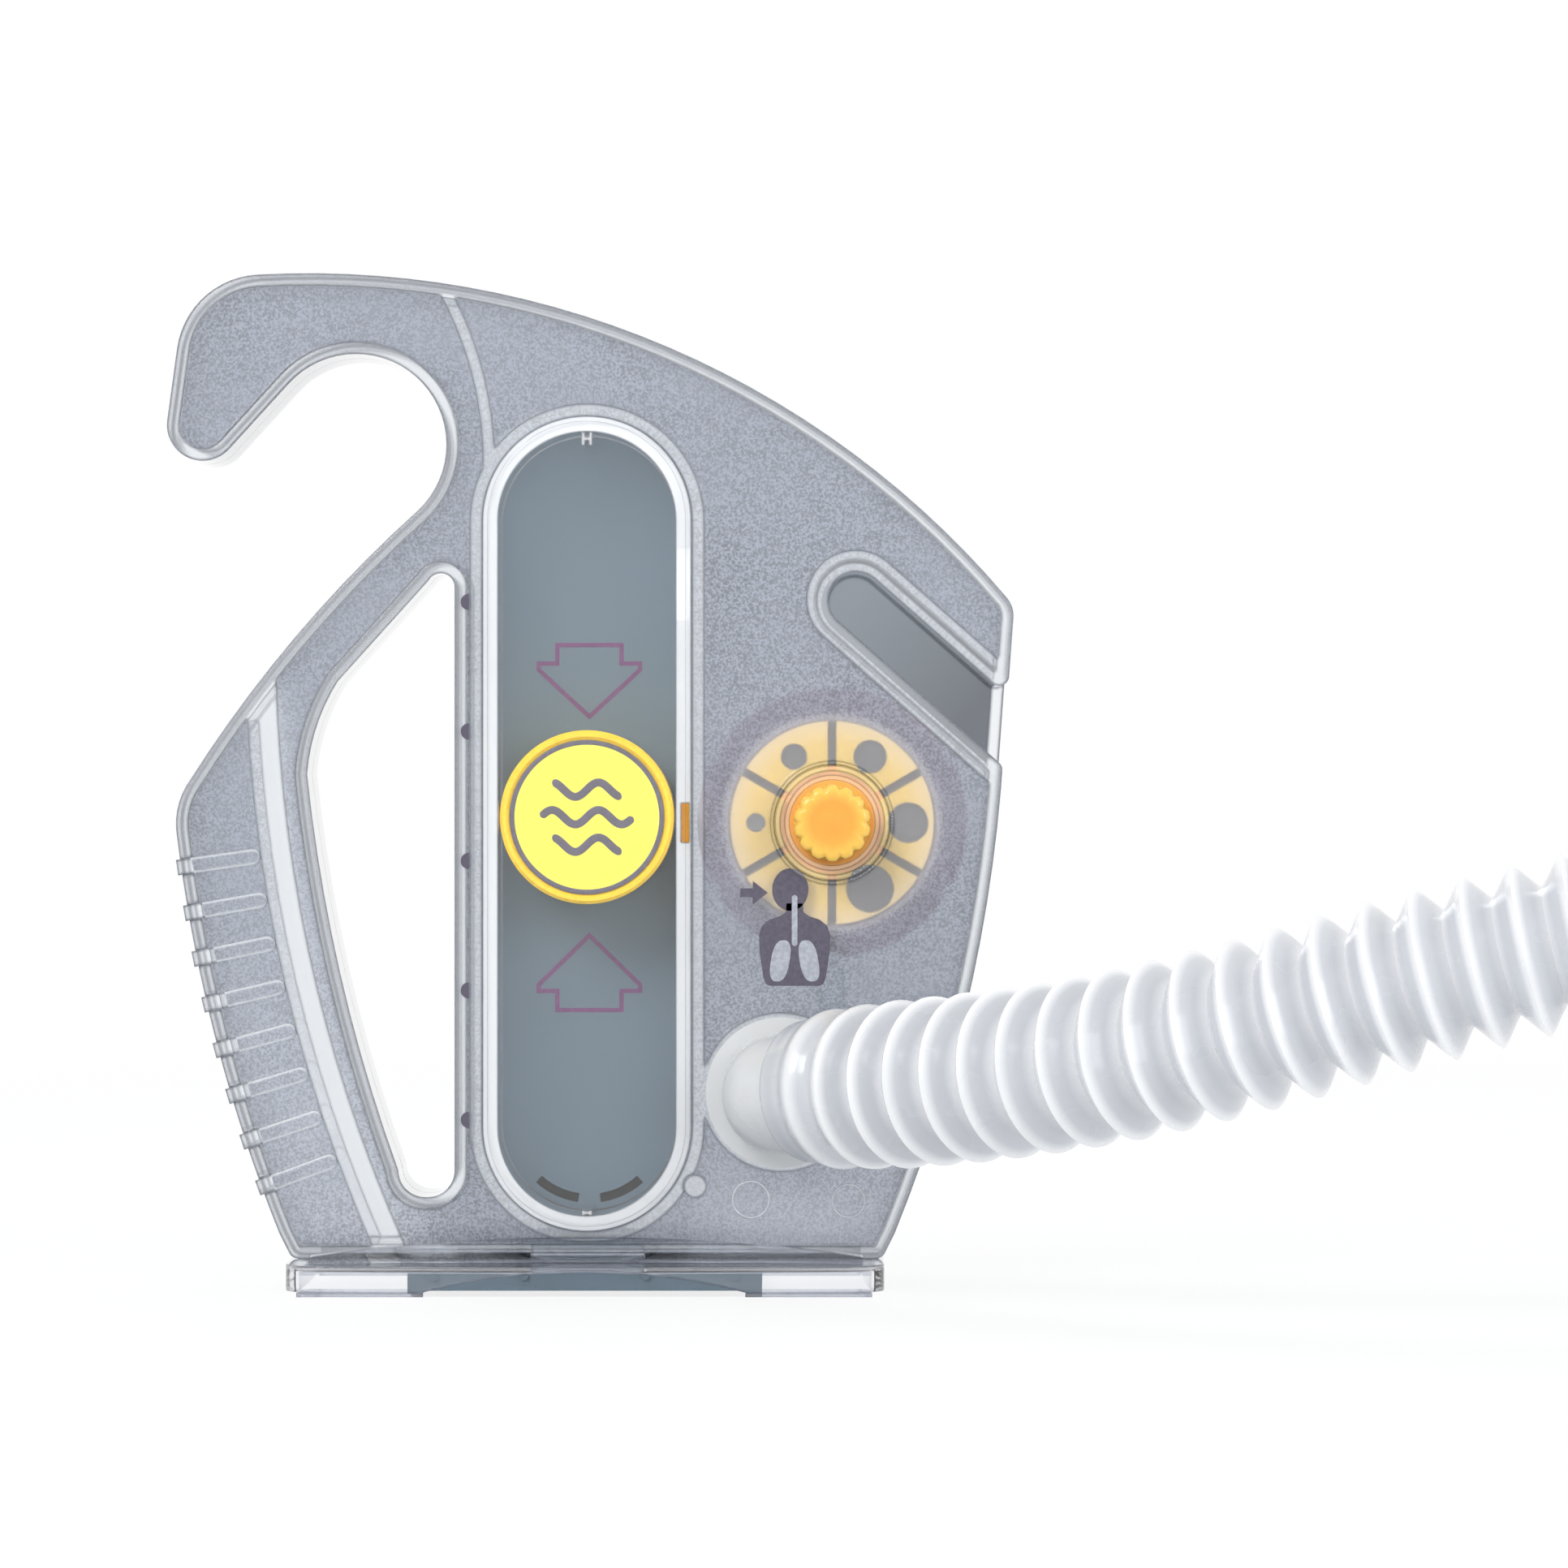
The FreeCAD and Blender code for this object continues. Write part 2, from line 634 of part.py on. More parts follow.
def front_shell(doc, size):
    """Front half: a tray with the column, the dial's collar and the hose port let into its face."""
    body = new_body(doc, "front_shell")
    profile = front_profile(size)
    half = add_sketch(body, "outline", "XZ_Plane", [profile], "Sizes.seam_gap / 2")
    add_pad(body, half, "Sizes.body_depth / 2 - Sizes.seam_gap / 2")
    hollow = add_sketch(body, "hollow", "XZ_Plane", [grown(profile, -size.wall)])
    add_pocket(body, hollow, "Sizes.body_depth / 2 - Sizes.wall", True)

    column = column_shape(size, size.column_half)
    collar = spot(size.dial_x, size.dial_z)
    port = spot(size.port_x, size.port_z)
    zone = frosted_zone(size, profile)
    zone = without(
        zone,
        grown(column, size.flange_width),
        divider(size),
        parking_slot(size, size.slot_band),
        disc(collar, size.collar_outer + size.collar_lip),
        disc(port, size.port_flange + size.collar_lip),
        disc(spot(size.gusset_x, size.gusset_z), size.gusset_round),
    )
    zones = [face for face in zone.Faces if face.Area > size.wall ** 2]
    frost = add_sketch(body, "frost", "XZ_Plane", zones, "Sizes.body_depth / 2")
    add_pocket(body, frost, "Sizes.rim_height")
    holes = [
        grown(column, size.seam_gap),
        disc(collar, size.collar_outer),
        disc(port, size.port_radius + size.seam_gap),
    ]
    add_pocket(body, add_sketch(body, "holes", "XZ_Plane", holes), "Sizes.body_depth", True)
    peg = [disc(spot(size.gusset_x, size.gusset_z), size.gusset_round)]
    peg_sketch = add_sketch(body, "peg", "XZ_Plane", peg, "Sizes.body_depth / 2 - Sizes.wall / 2")
    add_pad(body, peg_sketch, "Sizes.gusset_rise + Sizes.wall / 2 - Sizes.rim_height")
    add_ribs(body, size, True)
    add_pocket(body, airway_sketch(body, size), "Sizes.wall * 2")
    return body


def add_ribs(body, size, front):
    """Finger ribs on one face and round its side."""
    start = "Sizes.body_depth / 2 - Sizes.wall / 2 - Sizes.rim_height"
    length = "Sizes.rib_rise + Sizes.wall / 2"
    side = "1" if front else "-1"
    ribs = add_sketch(body, "ribs", "XZ_Plane", grip_ribs(size), f"{side} * ({start})")
    add_pad(body, ribs, length, not front)
    wraps = add_sketch(body, "wraps", "XZ_Plane", rib_wraps(size), f"{side} * Sizes.seam_gap / 2")
    add_pad(body, wraps, "Sizes.body_depth / 2 - Sizes.rim_height - Sizes.seam_gap / 2", not front)


def airway_sketch(body, size):
    """A slot up through the underside, on both halves, below the column."""
    half = size.airway_width / 2
    reach = size.inner_back - size.wall
    slot = rectangle(-half, -reach, half, reach)
    return add_sketch(body, "airway", "XY_Plane", [slot], "Sizes.body_foot + Sizes.wall * 1.5")


def inlet_slots(size):
    """Two curved slots that follow the channel's lower end."""
    centre = spot(0, size.column_foot)
    outer = size.inlet_radius + size.inlet_width / 2
    inner = size.inlet_radius - size.inlet_width / 2
    slots = []
    for side in (-1, 1):
        start = -90 + side * size.inlet_start
        end = -90 + side * size.inlet_end
        edges = [
            sweep_arc(centre, outer, start, end),
            line(on_circle(centre, outer, end), on_circle(centre, inner, end)),
            sweep_arc(centre, inner, end, start),
            line(on_circle(centre, inner, start), on_circle(centre, outer, start)),
        ]
        slots.append(filled(edges))
    return slots


def float_column(doc, size):
    """The clear channel that the float rises in, with its floor, inlets and outlet."""
    body = new_body(doc, "float_column")
    outer = column_shape(size, size.column_half)
    inner = column_shape(size, size.channel_half)
    back = "Sizes.wall - Sizes.body_depth / 2 + Sizes.seam_gap"
    ring = add_sketch(body, "ring", "XZ_Plane", [outer.cut(inner)], back)
    depth = "Sizes.body_depth + Sizes.column_proud - Sizes.window_sheet - Sizes.wall - 2 * Sizes.seam_gap"
    add_pad(body, ring, depth)
    floor_back = "-(Sizes.card_front + Sizes.card_thickness + Sizes.floor_thickness)"
    floor = add_sketch(body, "floor", "XZ_Plane", [inner], floor_back)
    add_pad(body, floor, "Sizes.floor_thickness")
    inlets = add_sketch(body, "inlets", "XZ_Plane", inlet_slots(size))
    add_pocket(body, inlets, "Sizes.body_depth / 2 - Sizes.wall")
    top = size.column_head - size.outlet_drop
    low = top - size.outlet_height
    outlet = rectangle(size.channel_half - size.column_wall, low, size.column_half + size.column_wall, top)
    add_pocket(body, add_sketch(body, "outlet", "XZ_Plane", [outlet]), "Sizes.body_depth / 4", True)
    half = size.airway_width / 2
    low = size.column_foot - size.column_half
    airway = rectangle(-half, low - size.column_wall, half, low + size.column_wall * 2)
    way = add_sketch(body, "airway", "XZ_Plane", [airway], "-(Sizes.body_depth / 2 - Sizes.wall)")
    add_pocket(body, way, "Sizes.body_depth / 4", True)
    nest = pointer_box(size, size.seam_gap)
    nest_front = "Sizes.body_depth / 2 + Sizes.column_proud - Sizes.window_sheet"
    nest_sketch = add_sketch(body, "nest", "XZ_Plane", [nest], nest_front)
    add_pocket(body, nest_sketch, "Sizes.pointer_depth + Sizes.seam_gap")
    return body


def pointer_box(size, extra):
    """The pointer's place in the column's right wall, level with the dial's axis."""
    right = size.column_half - size.window_sheet / 4
    left = right - size.pointer_width
    low = size.dial_z - size.pointer_height / 2
    return rectangle(left - extra, low - extra, right + extra, low + size.pointer_height + extra)


def column_window(doc, size):
    """The clear sheet over the channel, bevelled and proud of the housing."""
    body = new_body(doc, "column_window")
    shape = column_shape(size, size.column_half)
    start = "Sizes.body_depth / 2 + Sizes.column_proud - Sizes.window_sheet"
    plate = add_pad(body, add_sketch(body, "sheet", "XZ_Plane", [shape], start), "Sizes.window_sheet")
    front = -size.half - size.column_proud
    bevel_edges(body, plate, "Sizes.sheet_bevel", lambda edge: lies_at(edge, front))
    return body


def label_card(doc, size):
    """The coloured card behind the float, with the inlet slots cut through."""
    body = new_body(doc, "label_card")
    shape = column_shape(size, size.channel_half - size.card_gap)
    start = "-(Sizes.card_front + Sizes.card_thickness)"
    card = without(shape, *inlet_slots(size))
    add_pad(body, add_sketch(body, "card", "XZ_Plane", [card], start), "Sizes.card_thickness")
    return body


def stop_shape(size, low, high):
    """Section of a stop: two bars joined across their middle."""
    half = size.stop_width / 2
    middle = (low + high) / 2
    bars = [
        rectangle(-half, low, -half + size.stop_bar, high),
        rectangle(half - size.stop_bar, low, half, high),
        rectangle(-half, middle - size.stop_bar / 2, half, middle + size.stop_bar / 2),
    ]
    return bars[0].fuse(bars[1:]).removeSplitter()


def float_stop(doc, size, name, low, high):
    """A rib that ends the float's travel, from the card to the clear sheet."""
    body = new_body(doc, name)
    sketch = add_sketch(body, "bars", "XZ_Plane", [stop_shape(size, low, high)], "-Sizes.card_front")
    front = "Sizes.body_depth / 2 + Sizes.column_proud - Sizes.window_sheet - Sizes.seam_gap"
    depth = f"Sizes.card_front + {front}"
    add_pad(body, sketch, depth)
    return body


def revolved(body, name, corners, x, z):
    """A solid of revolution about an axis along Y, from (radius, depth) corners."""
    sketch = body.newObject("Sketcher::SketchObject", f"{body.Name}_{name}")
    sketch.AttachmentSupport = [(origin_plane(body, "XY_Plane"), "")]
    sketch.MapMode = "FlatFace"
    points = [spot(radius, depth) for radius, depth in corners]
    for start, end in zip(points, points[1:] + points[:1]):
        sketch.addGeometry(Part.LineSegment(start, end), False)
    turned = body.newObject("PartDesign::Revolution", f"{body.Name}_{name}_turned")
    turned.Profile = sketch
    turned.ReferenceAxis = (sketch, ["V_Axis"])
    turned.Angle = 360
    body.setExpression("Placement.Base.x", x)
    body.setExpression("Placement.Base.z", z)
    return turned


def ring_corners(inner, outer, front, back):
    """Section of a plain ring, for turning."""
    return [(inner, back), (outer, back), (outer, front), (inner, front)]


def float_cup(doc, size):
    """The float's cup, open at the back, with a raised rim round its face."""
    body = new_body(doc, "float_cup")
    radius = size.float_radius
    inner = radius - size.float_rim
    front = size.float_front
    back = size.float_back
    seat = front + size.float_recess
    bevel = size.float_rim / 3
    skin = size.float_skin
    corners = [
        (0, seat), (inner, seat), (inner, front + bevel), (inner + bevel, front),
        (radius - bevel, front), (radius, front + bevel), (radius, back),
        (radius - skin, back), (radius - skin, seat + skin), (0, seat + skin),
    ]
    revolved(body, "cup", corners, "0", "Sizes.float_z")
    return body


def float_face(doc, size):
    """The pale face disc in the float's rim, bevelled."""
    body = new_body(doc, "float_face")
    radius = size.float_radius - size.float_rim - size.face_gap
    seat = size.float_front + size.float_recess
    front = seat - size.face_thickness - size.face_bevel
    bevel = size.face_bevel
    corners = [(0, seat), (radius, seat), (radius, front + bevel), (radius - bevel, front), (0, front)]
    revolved(body, "disc", corners, "0", "Sizes.float_z")
    return body


def port_disc(size, number):
    """One flow port of the dial. The smallest is at nine o'clock and they widen clockwise."""
    centre = spot(size.dial_x, size.dial_z)
    radius = (size.smallest_port + size.port_step * number) / 2
    return disc(on_circle(centre, size.port_circle, 180 - 60 * number), radius)


def dial_ports(size):
    return [port_disc(size, number) for number in range(5)]


def dial_disc(doc, size):
    """The dial: a disc with five ports and one closed place, a thick rim with notches, and a hub."""
    body = new_body(doc, "dial_disc")
    centre = spot(size.dial_x, size.dial_z)
    plate = without(disc(centre, size.dial_radius), *dial_ports(size))
    front = "Sizes.body_depth / 2 - Sizes.wall - Sizes.dial_gap - Sizes.pad_thickness"
    back = f"{front} - Sizes.dial_thickness"
    add_pad(body, add_sketch(body, "plate", "XZ_Plane", [plate], back), "Sizes.dial_thickness")
    ring = disc(centre, size.dial_radius).cut(disc(centre, size.dial_radius - size.rim_ring))
    add_pad(body, add_sketch(body, "ring", "XZ_Plane", [ring], back), "Sizes.rim_ring_rise", True)
    hub = disc(centre, size.hub_radius)
    add_pad(body, add_sketch(body, "hub", "XZ_Plane", [hub], back), "Sizes.hub_length", True)
    bore = disc(centre, size.axle_radius + size.axle_clearance)
    start = f"{back} - Sizes.hub_length"
    add_pocket(body, add_sketch(body, "bore", "XZ_Plane", [bore], start), "Sizes.hub_length", True)
    reach = size.dial_radius + size.notch_radius - size.notch_depth
    notches = [disc(on_circle(centre, reach, -90 + 60 * number), size.notch_radius) for number in range(6)]
    add_pocket(body, add_sketch(body, "notches", "XZ_Plane", notches), "Sizes.body_depth / 2", True)
    return body


def dial_sectors(doc, size):
    """Six coloured pads on the dial's front, one for each port."""
    centre = spot(size.dial_x, size.dial_z)
    band = disc(centre, size.pad_outer).cut(disc(centre, size.pad_inner))
    for number in range(3):
        along = on_circle(Vector(), size.dial_radius, 90 + 60 * number)
        band = band.cut(bar(centre - along, centre + along, size.spoke_width / 2))
    band = without(band, *dial_ports(size))
    pads = doc.addObject("Part::Feature", "dial_sectors")
    solids = []
    for face in band.Faces:
        upright = face.rotated(Vector(), Vector(1, 0, 0), 90)
        solids.append(upright.extrude(Vector(0, size.pad_thickness, 0)))
    pads.Shape = Part.makeCompound(solids)
    pads.Placement = Placement(Vector(0, size.dial_front, 0), Rotation())
    pads.Label = "dial_sectors"
    return pads


def dial_knob(doc, size):
    """The fluted knob that turns the dial through the collar."""
    body = new_body(doc, "dial_knob")
    radius = size.knob_radius
    back = size.disc_front
    tip = -size.half - size.knob_proud
    bevel = size.knob_bevel
    corners = [(0, back), (radius, back), (radius, tip + bevel), (radius - bevel, tip), (0, tip)]
    revolved(body, "crown", corners, "Sizes.dial_x", "Sizes.dial_z")
    body.Document.recompute()
    flute = disc(spot(radius + size.flute_radius - size.flute_depth, 0), size.flute_radius)
    start = "Sizes.body_depth / 2 + Sizes.collar_proud + Sizes.dial_gap"
    sketch = add_sketch(body, "flute", "XZ_Plane", [flute], start)
    cut = add_pocket(body, sketch, "Sizes.knob_proud", True)
    pattern = body.newObject("PartDesign::PolarPattern", "dial_knob_flutes")
    pattern.Originals = [cut]
    pattern.Axis = (sketch, ["N_Axis"])
    pattern.Angle = 360
    pattern.setExpression("Occurrences", "Sizes.flute_count")
    body.Tip = pattern
    return body


def dial_collar(doc, size):
    """The clear collar in the front half, with two raised lips round the knob."""
    body = new_body(doc, "dial_collar")
    outer = size.collar_outer - size.seam_gap
    inner = size.collar_inner
    lip = size.collar_lip
    front = -size.half - size.collar_proud
    face = -size.half
    back = -size.half + size.wall
    corners = [
        (inner, back), (outer, back), (outer, front), (outer - lip, front),
        (outer - lip, face), (inner + lip, face), (inner + lip, front), (inner, front),
    ]
    revolved(body, "lips", corners, "Sizes.dial_x", "Sizes.dial_z")
    return body


def dial_axle(doc, size):
    """The pin that the dial turns on, with its foot on the rear half."""
    body = new_body(doc, "dial_axle")
    tip = size.disc_back + size.dial_gap
    foot = size.disc_back + size.hub_length + size.dial_gap
    back = size.inner_back - size.seam_gap
    corners = [
        (0, back), (size.axle_foot, back), (size.axle_foot, foot),
        (size.axle_radius, foot), (size.axle_radius, tip), (0, tip),
    ]
    revolved(body, "pin", corners, "Sizes.dial_x", "Sizes.dial_z")
    return body


def dial_seal(doc, size):
    """The soft ring behind the chosen port."""
    body = new_body(doc, "dial_seal")
    front = size.disc_back + size.seal_clearance
    back = front + size.seal_thickness
    corners = ring_corners(size.seal_bore, size.seal_radius, front, back)
    revolved(body, "ring", corners, VENT_X, "Sizes.dial_z")
    return body


def bypass_tube(doc, size):
    """The tube from the vent in the rear half to the seal."""
    body = new_body(doc, "bypass_tube")
    front = size.disc_back + size.seal_clearance + size.seal_thickness
    back = size.inner_back - size.seam_gap
    corners = ring_corners(size.seal_bore, size.seal_radius, front, back)
    revolved(body, "tube", corners, VENT_X, "Sizes.dial_z")
    return body


def detent_arm(doc, size):
    """The click arm: a leaf on a foot, with a nose just clear of the dial's rim."""
    body = new_body(doc, "detent_arm")
    top = size.dial_z - size.dial_radius - size.arm_gap
    half = size.arm_width / 2
    nose = size.nose_radius
    x = size.dial_x
    low = top - size.arm_length
    edges = [
        line(spot(x - half, low), spot(x + half, low)),
        line(spot(x + half, low), spot(x + half, top - nose * 2)),
        line(spot(x + half, top - nose * 2), spot(x + nose, top - nose)),
        arc(spot(x + nose, top - nose), spot(x, top), spot(x - nose, top - nose)),
        line(spot(x - nose, top - nose), spot(x - half, top - nose * 2)),
        line(spot(x - half, top - nose * 2), spot(x - half, low)),
    ]
    front = "Sizes.body_depth / 2 - Sizes.wall - Sizes.dial_gap - Sizes.pad_thickness - Sizes.dial_thickness"
    leaf = add_sketch(body, "leaf", "XZ_Plane", [filled(edges)], front)
    add_pad(body, leaf, "Sizes.arm_thickness")
    foot = rectangle(x - half, low, x + half, low + size.arm_width)
    back = "Sizes.body_depth / 2 - Sizes.wall - Sizes.seam_gap"
    foot_sketch = add_sketch(body, "foot", "XZ_Plane", [foot], f"-({back})")
    add_pad(body, foot_sketch, f"{back} + {front}")
    return body


def dial_pointer(doc, size):
    """The orange pointer set into the column's right wall."""
    body = new_body(doc, "dial_pointer")
    start = "Sizes.body_depth / 2 + Sizes.column_proud - Sizes.window_sheet - Sizes.pointer_depth"
    sketch = add_sketch(body, "bar", "XZ_Plane", [pointer_box(size, 0)], start)
    add_pad(body, sketch, "Sizes.pointer_depth")
    return body


def cylinder(doc, name, radius, height, place):
    item = doc.addObject("Part::Cylinder", name)
    item.setExpression("Radius", radius)
    item.setExpression("Height", height)
    item.Placement = place
    return item


def hose_direction(size):
    turn = math.radians(size.port_yaw)
    lift = math.radians(size.port_lift)
    return Vector(math.cos(turn) * math.cos(lift), -math.sin(turn) * math.cos(lift), math.sin(lift))


def along(point, direction):
    """A placement at a point with its own Z along a direction."""
    return Placement(point, Rotation(Vector(0, 0, 1), direction))


def hose_spigot(doc, size):
    """The bent port that the hose's cuff is pushed on, with its flange on the front half."""
    bend = Vector(size.port_x, size.bend_y, size.port_z)
    forward = Vector(0, -1, 0)
    heel = Vector(size.port_x, -size.half + size.wall + size.port_inside, size.port_z)
    seat = Vector(size.port_x, -size.half - size.gasket_thickness, size.port_z)
    direction = hose_direction(size)
    straight = "Sizes.port_reach + Sizes.wall + Sizes.port_inside"
    bore_radius = "Sizes.port_radius - Sizes.port_wall"
    outer = [
        cylinder(doc, "spigot_root", "Sizes.port_radius", straight, along(heel, forward)),
        cylinder(doc, "spigot_tube", "Sizes.port_radius", "Sizes.port_length", along(bend, direction)),
        cylinder(doc, "spigot_flange", "Sizes.port_flange", "Sizes.flange_thickness", along(seat, forward)),
        doc.addObject("Part::Sphere", "spigot_bend"),
    ]
    outer[-1].setExpression("Radius", "Sizes.port_radius")
    outer[-1].Placement = Placement(bend, Rotation())
    skin = doc.addObject("Part::MultiFuse", "spigot_skin")
    skin.Shapes = outer
    inner = [
        cylinder(doc, "bore_root", bore_radius, straight, along(heel, forward)),
        cylinder(doc, "bore_tube", bore_radius, "Sizes.port_length", along(bend, direction)),
        doc.addObject("Part::Sphere", "bore_bend"),
    ]
    inner[-1].setExpression("Radius", bore_radius)
    inner[-1].Placement = Placement(bend, Rotation())
    bore = doc.addObject("Part::MultiFuse", "spigot_bore")
    bore.Shapes = inner
    spigot = doc.addObject("Part::Cut", "hose_spigot")
    spigot.Base = skin
    spigot.Tool = bore
    spigot.Label = "hose_spigot"
    return spigot


def spigot_gasket(doc, size):
    """The flat ring under the port's flange."""
    body = new_body(doc, "spigot_gasket")
    inner = size.port_radius + size.seam_gap
    front = -size.half - size.gasket_thickness
    corners = ring_corners(inner, size.port_flange, front, -size.half)
    revolved(body, "ring", corners, "Sizes.port_x", "Sizes.port_z")
    return body


def base_outline(size, inset):
    """The base from above: bowed front and back, straight sides, round corners."""
    half = size.base_half - inset
    edge = size.base_depth / 2 - size.base_bow - inset
    bow = size.base_depth / 2 - inset
    edges = [
        arc(spot(-half, -edge), spot(0, -bow), spot(half, -edge)),
        line(spot(half, -edge), spot(half, edge)),
        arc(spot(half, edge), spot(0, bow), spot(-half, edge)),
        line(spot(-half, edge), spot(-half, -edge)),
    ]
    face = filled(edges)
    radius = size.base_round - inset
    return grown(grown(face, -radius), radius)


def base_skirt(doc, size):
    """The hollow base under the housing, with sloped feet and an air arch in front and behind."""
    body = new_body(doc, "base_skirt")
    plan = add_sketch(body, "plan", "XY_Plane", [base_outline(size, 0)], "Sizes.pad_height")
    add_pad(body, plan, "Sizes.body_foot - Sizes.pad_height - Sizes.seam_gap")
    # The sloped feet lean on the housing's faces. Their top is arched, seen from the front.
    near = size.half + size.seam_gap
    far = size.half + size.flare_depth
    top = size.body_foot + size.flare_height
    low = size.body_foot - size.wall / 2
    for side, name in ((-1, "front_slope"), (1, "back_slope")):
        edges = [
            line(spot(side * near, low), spot(side * near, top)),
            arc(
                spot(side * near, top),
                spot(side * (near + size.flare_depth / 3), size.body_foot + size.flare_height / 3),
                spot(side * far, size.body_foot),
            ),
            line(spot(side * far, size.body_foot), spot(side * far, low)),
            line(spot(side * far, low), spot(side * near, low)),
        ]
        slope = add_sketch(body, name, "YZ_Plane", [filled(edges)])
        pad = add_pad(body, slope, "2 * Sizes.flare_half")
        pad.Midplane = True
    left = spot(-size.flare_half, size.body_foot + size.rim_height)
    right = spot(size.flare_half, size.body_foot + size.rim_height)
    lift = spot(0, size.flare_height)
    trim = filled([
        arc(left, spot(0, top), right),
        line(right, right + lift),
        line(right + lift, left + lift),
        line(left + lift, left),
    ])
    pocket = add_pocket(body, add_sketch(body, "arched_top", "XZ_Plane", [trim]), "2 * Sizes.base_depth")
    pocket.Midplane = True
    hollow = add_sketch(body, "hollow", "XY_Plane", [base_outline(size, size.base_wall)], "Sizes.pad_height")
    add_pocket(body, hollow, "Sizes.body_foot - Sizes.pad_height - Sizes.wall / 2", True)
    arch = filled([
        line(spot(-size.arch_half, size.pad_height), spot(size.arch_half, size.pad_height)),
        arc(spot(size.arch_half, size.pad_height), spot(0, size.pad_height + size.arch_height),
            spot(-size.arch_half, size.pad_height)),
    ])
    arch_sketch = add_sketch(body, "arch", "XZ_Plane", [arch], "Sizes.base_depth / 2")
    add_pocket(body, arch_sketch, "Sizes.base_wall * 2 + Sizes.base_bow")
    half = size.airway_width / 2
    reach = size.inner_back - size.wall
    way = rectangle(-half, -reach, half, reach)
    way_sketch = add_sketch(body, "airway", "XY_Plane", [way], "Sizes.body_foot")
    add_pocket(body, way_sketch, "Sizes.wall")
    return body


def base_insert(doc, size):
    """The coloured upstand seen through the air arch, on its foot plate, with four pegs."""
    body = new_body(doc, "base_insert")
    depth = size.base_depth / 2 - size.base_bow - size.base_wall * 2
    half = size.arch_half + size.base_wall
    plate = rectangle(-half, -depth, half, depth)
    sketch = add_sketch(body, "plate", "XY_Plane", [plate], "Sizes.pad_height")
    add_pad(body, sketch, "Sizes.insert_thickness")
    wall = rectangle(-half, -depth, half, -depth + size.insert_thickness)
    wall_sketch = add_sketch(body, "upstand", "XY_Plane", [wall], "Sizes.pad_height")
    rise = "Sizes.body_foot - Sizes.pad_height - Sizes.wall / 2 - Sizes.insert_gap"
    add_pad(body, wall_sketch, rise)
    peg_z = size.pad_height + size.arch_height / 2 + size.peg_radius
    places = [-size.peg_outer, -size.peg_inner, size.peg_inner, size.peg_outer]
    pegs = [disc(spot(x, peg_z), size.peg_radius) for x in places]
    start = "Sizes.base_depth / 2 - Sizes.base_bow - Sizes.base_wall * 2 - Sizes.insert_thickness / 2"
    add_pad(body, add_sketch(body, "pegs", "XZ_Plane", pegs, start), "Sizes.insert_thickness")
    return body


def foot_pads(doc, size):
    """Four pads under the corners of the base."""
    pads = []
    far = size.base_depth / 2 - size.base_bow - size.base_wall / 2
    for x_side in (-1, 1):
        for y_side in (-1, 1):
            pad = doc.addObject("Part::Box", f"foot_{len(pads) + 1}")
            pad.setExpression("Length", "Sizes.pad_width")
            pad.setExpression("Width", "Sizes.pad_depth")
            pad.setExpression("Height", "Sizes.pad_height - Sizes.seam_gap")
            x = x_side * (size.base_half - size.pad_inset - size.pad_width / 2) - size.pad_width / 2
            y = y_side * (far - size.pad_depth / 2) - size.pad_depth / 2
            pad.Placement = Placement(Vector(x, y, 0), Rotation())
            pads.append(pad)
    group = doc.addObject("Part::Compound", "foot_pads")
    group.Links = pads
    group.Label = "foot_pads"
    return group


def seam_snaps(doc, size):
    """Five D-shaped snaps that close the seam beside the finger window."""
    snaps = []
    for number in range(int(size.snap_count)):
        snap = doc.addObject("Part::Cylinder", f"snap_{number + 1}")
        snap.setExpression("Radius", "Sizes.snap_radius")
        snap.setExpression("Height", "Sizes.snap_proud")
        snap.Angle = 180
        place = Vector(size.snap_x, -size.half, size.snap_top_z - size.snap_pitch * number)
        snap.Placement = Placement(place, Rotation(Vector(0, 0, 1), 90) * Rotation(Vector(0, 1, 0), -90))
        snaps.append(snap)
    group = doc.addObject("Part::Compound", "seam_snaps")
    group.Links = snaps
    group.Label = "seam_snaps"
    return group


def swept_ring(doc, name, path, outer, inner):
    """A tube of round section along a wire."""
    first = path.Edges[0]
    start = first.valueAt(first.FirstParameter)
    direction = first.tangentAt(first.FirstParameter)
    solids = []
    for radius in (outer, inner):
        ring = Part.Wire(Part.Circle(start, direction, radius).toShape())
        solids.append(path.makePipeShell([ring], True, False))
    tube = doc.addObject("Part::Feature", name)
    tube.Shape = solids[0].cut(solids[1])
    tube.Label = name
    return tube


def hose_route(size):
    """The route's points: the end of the first cuff, then those chosen by hand."""
    bend = Vector(size.port_x, size.bend_y, size.port_z)
    exit_point = bend + hose_direction(size) * size.cuff_end
    return [exit_point] + [Vector(*point) for point in ROUTE]


def hose_path(points):
    """Straight runs joined by tangent arcs, each as large as its two runs allow."""
    edges = []
    radii = []
    last = points[0]
    for before, corner, after in zip(points, points[1:], points[2:]):
        back = (before - corner).normalize()
        ahead = (after - corner).normalize()
        turn = math.pi - back.getAngle(ahead)
        shorter = min((before - corner).Length, (after - corner).Length)
        setback = 0.45 * shorter
        radius = setback / math.tan(turn / 2)
        radii.append(radius)
        entry = corner + back * setback
        leave = corner + ahead * setback
        middle_line = (back + ahead).normalize()
        centre_reach = math.hypot(radius, setback)
        middle = corner + middle_line * (centre_reach - radius)
        edges.append(line(last, entry))
        edges.append(arc(entry, middle, leave))
        last = leave
    edges.append(line(last, points[-1]))
    return Part.Wire(edges), radii


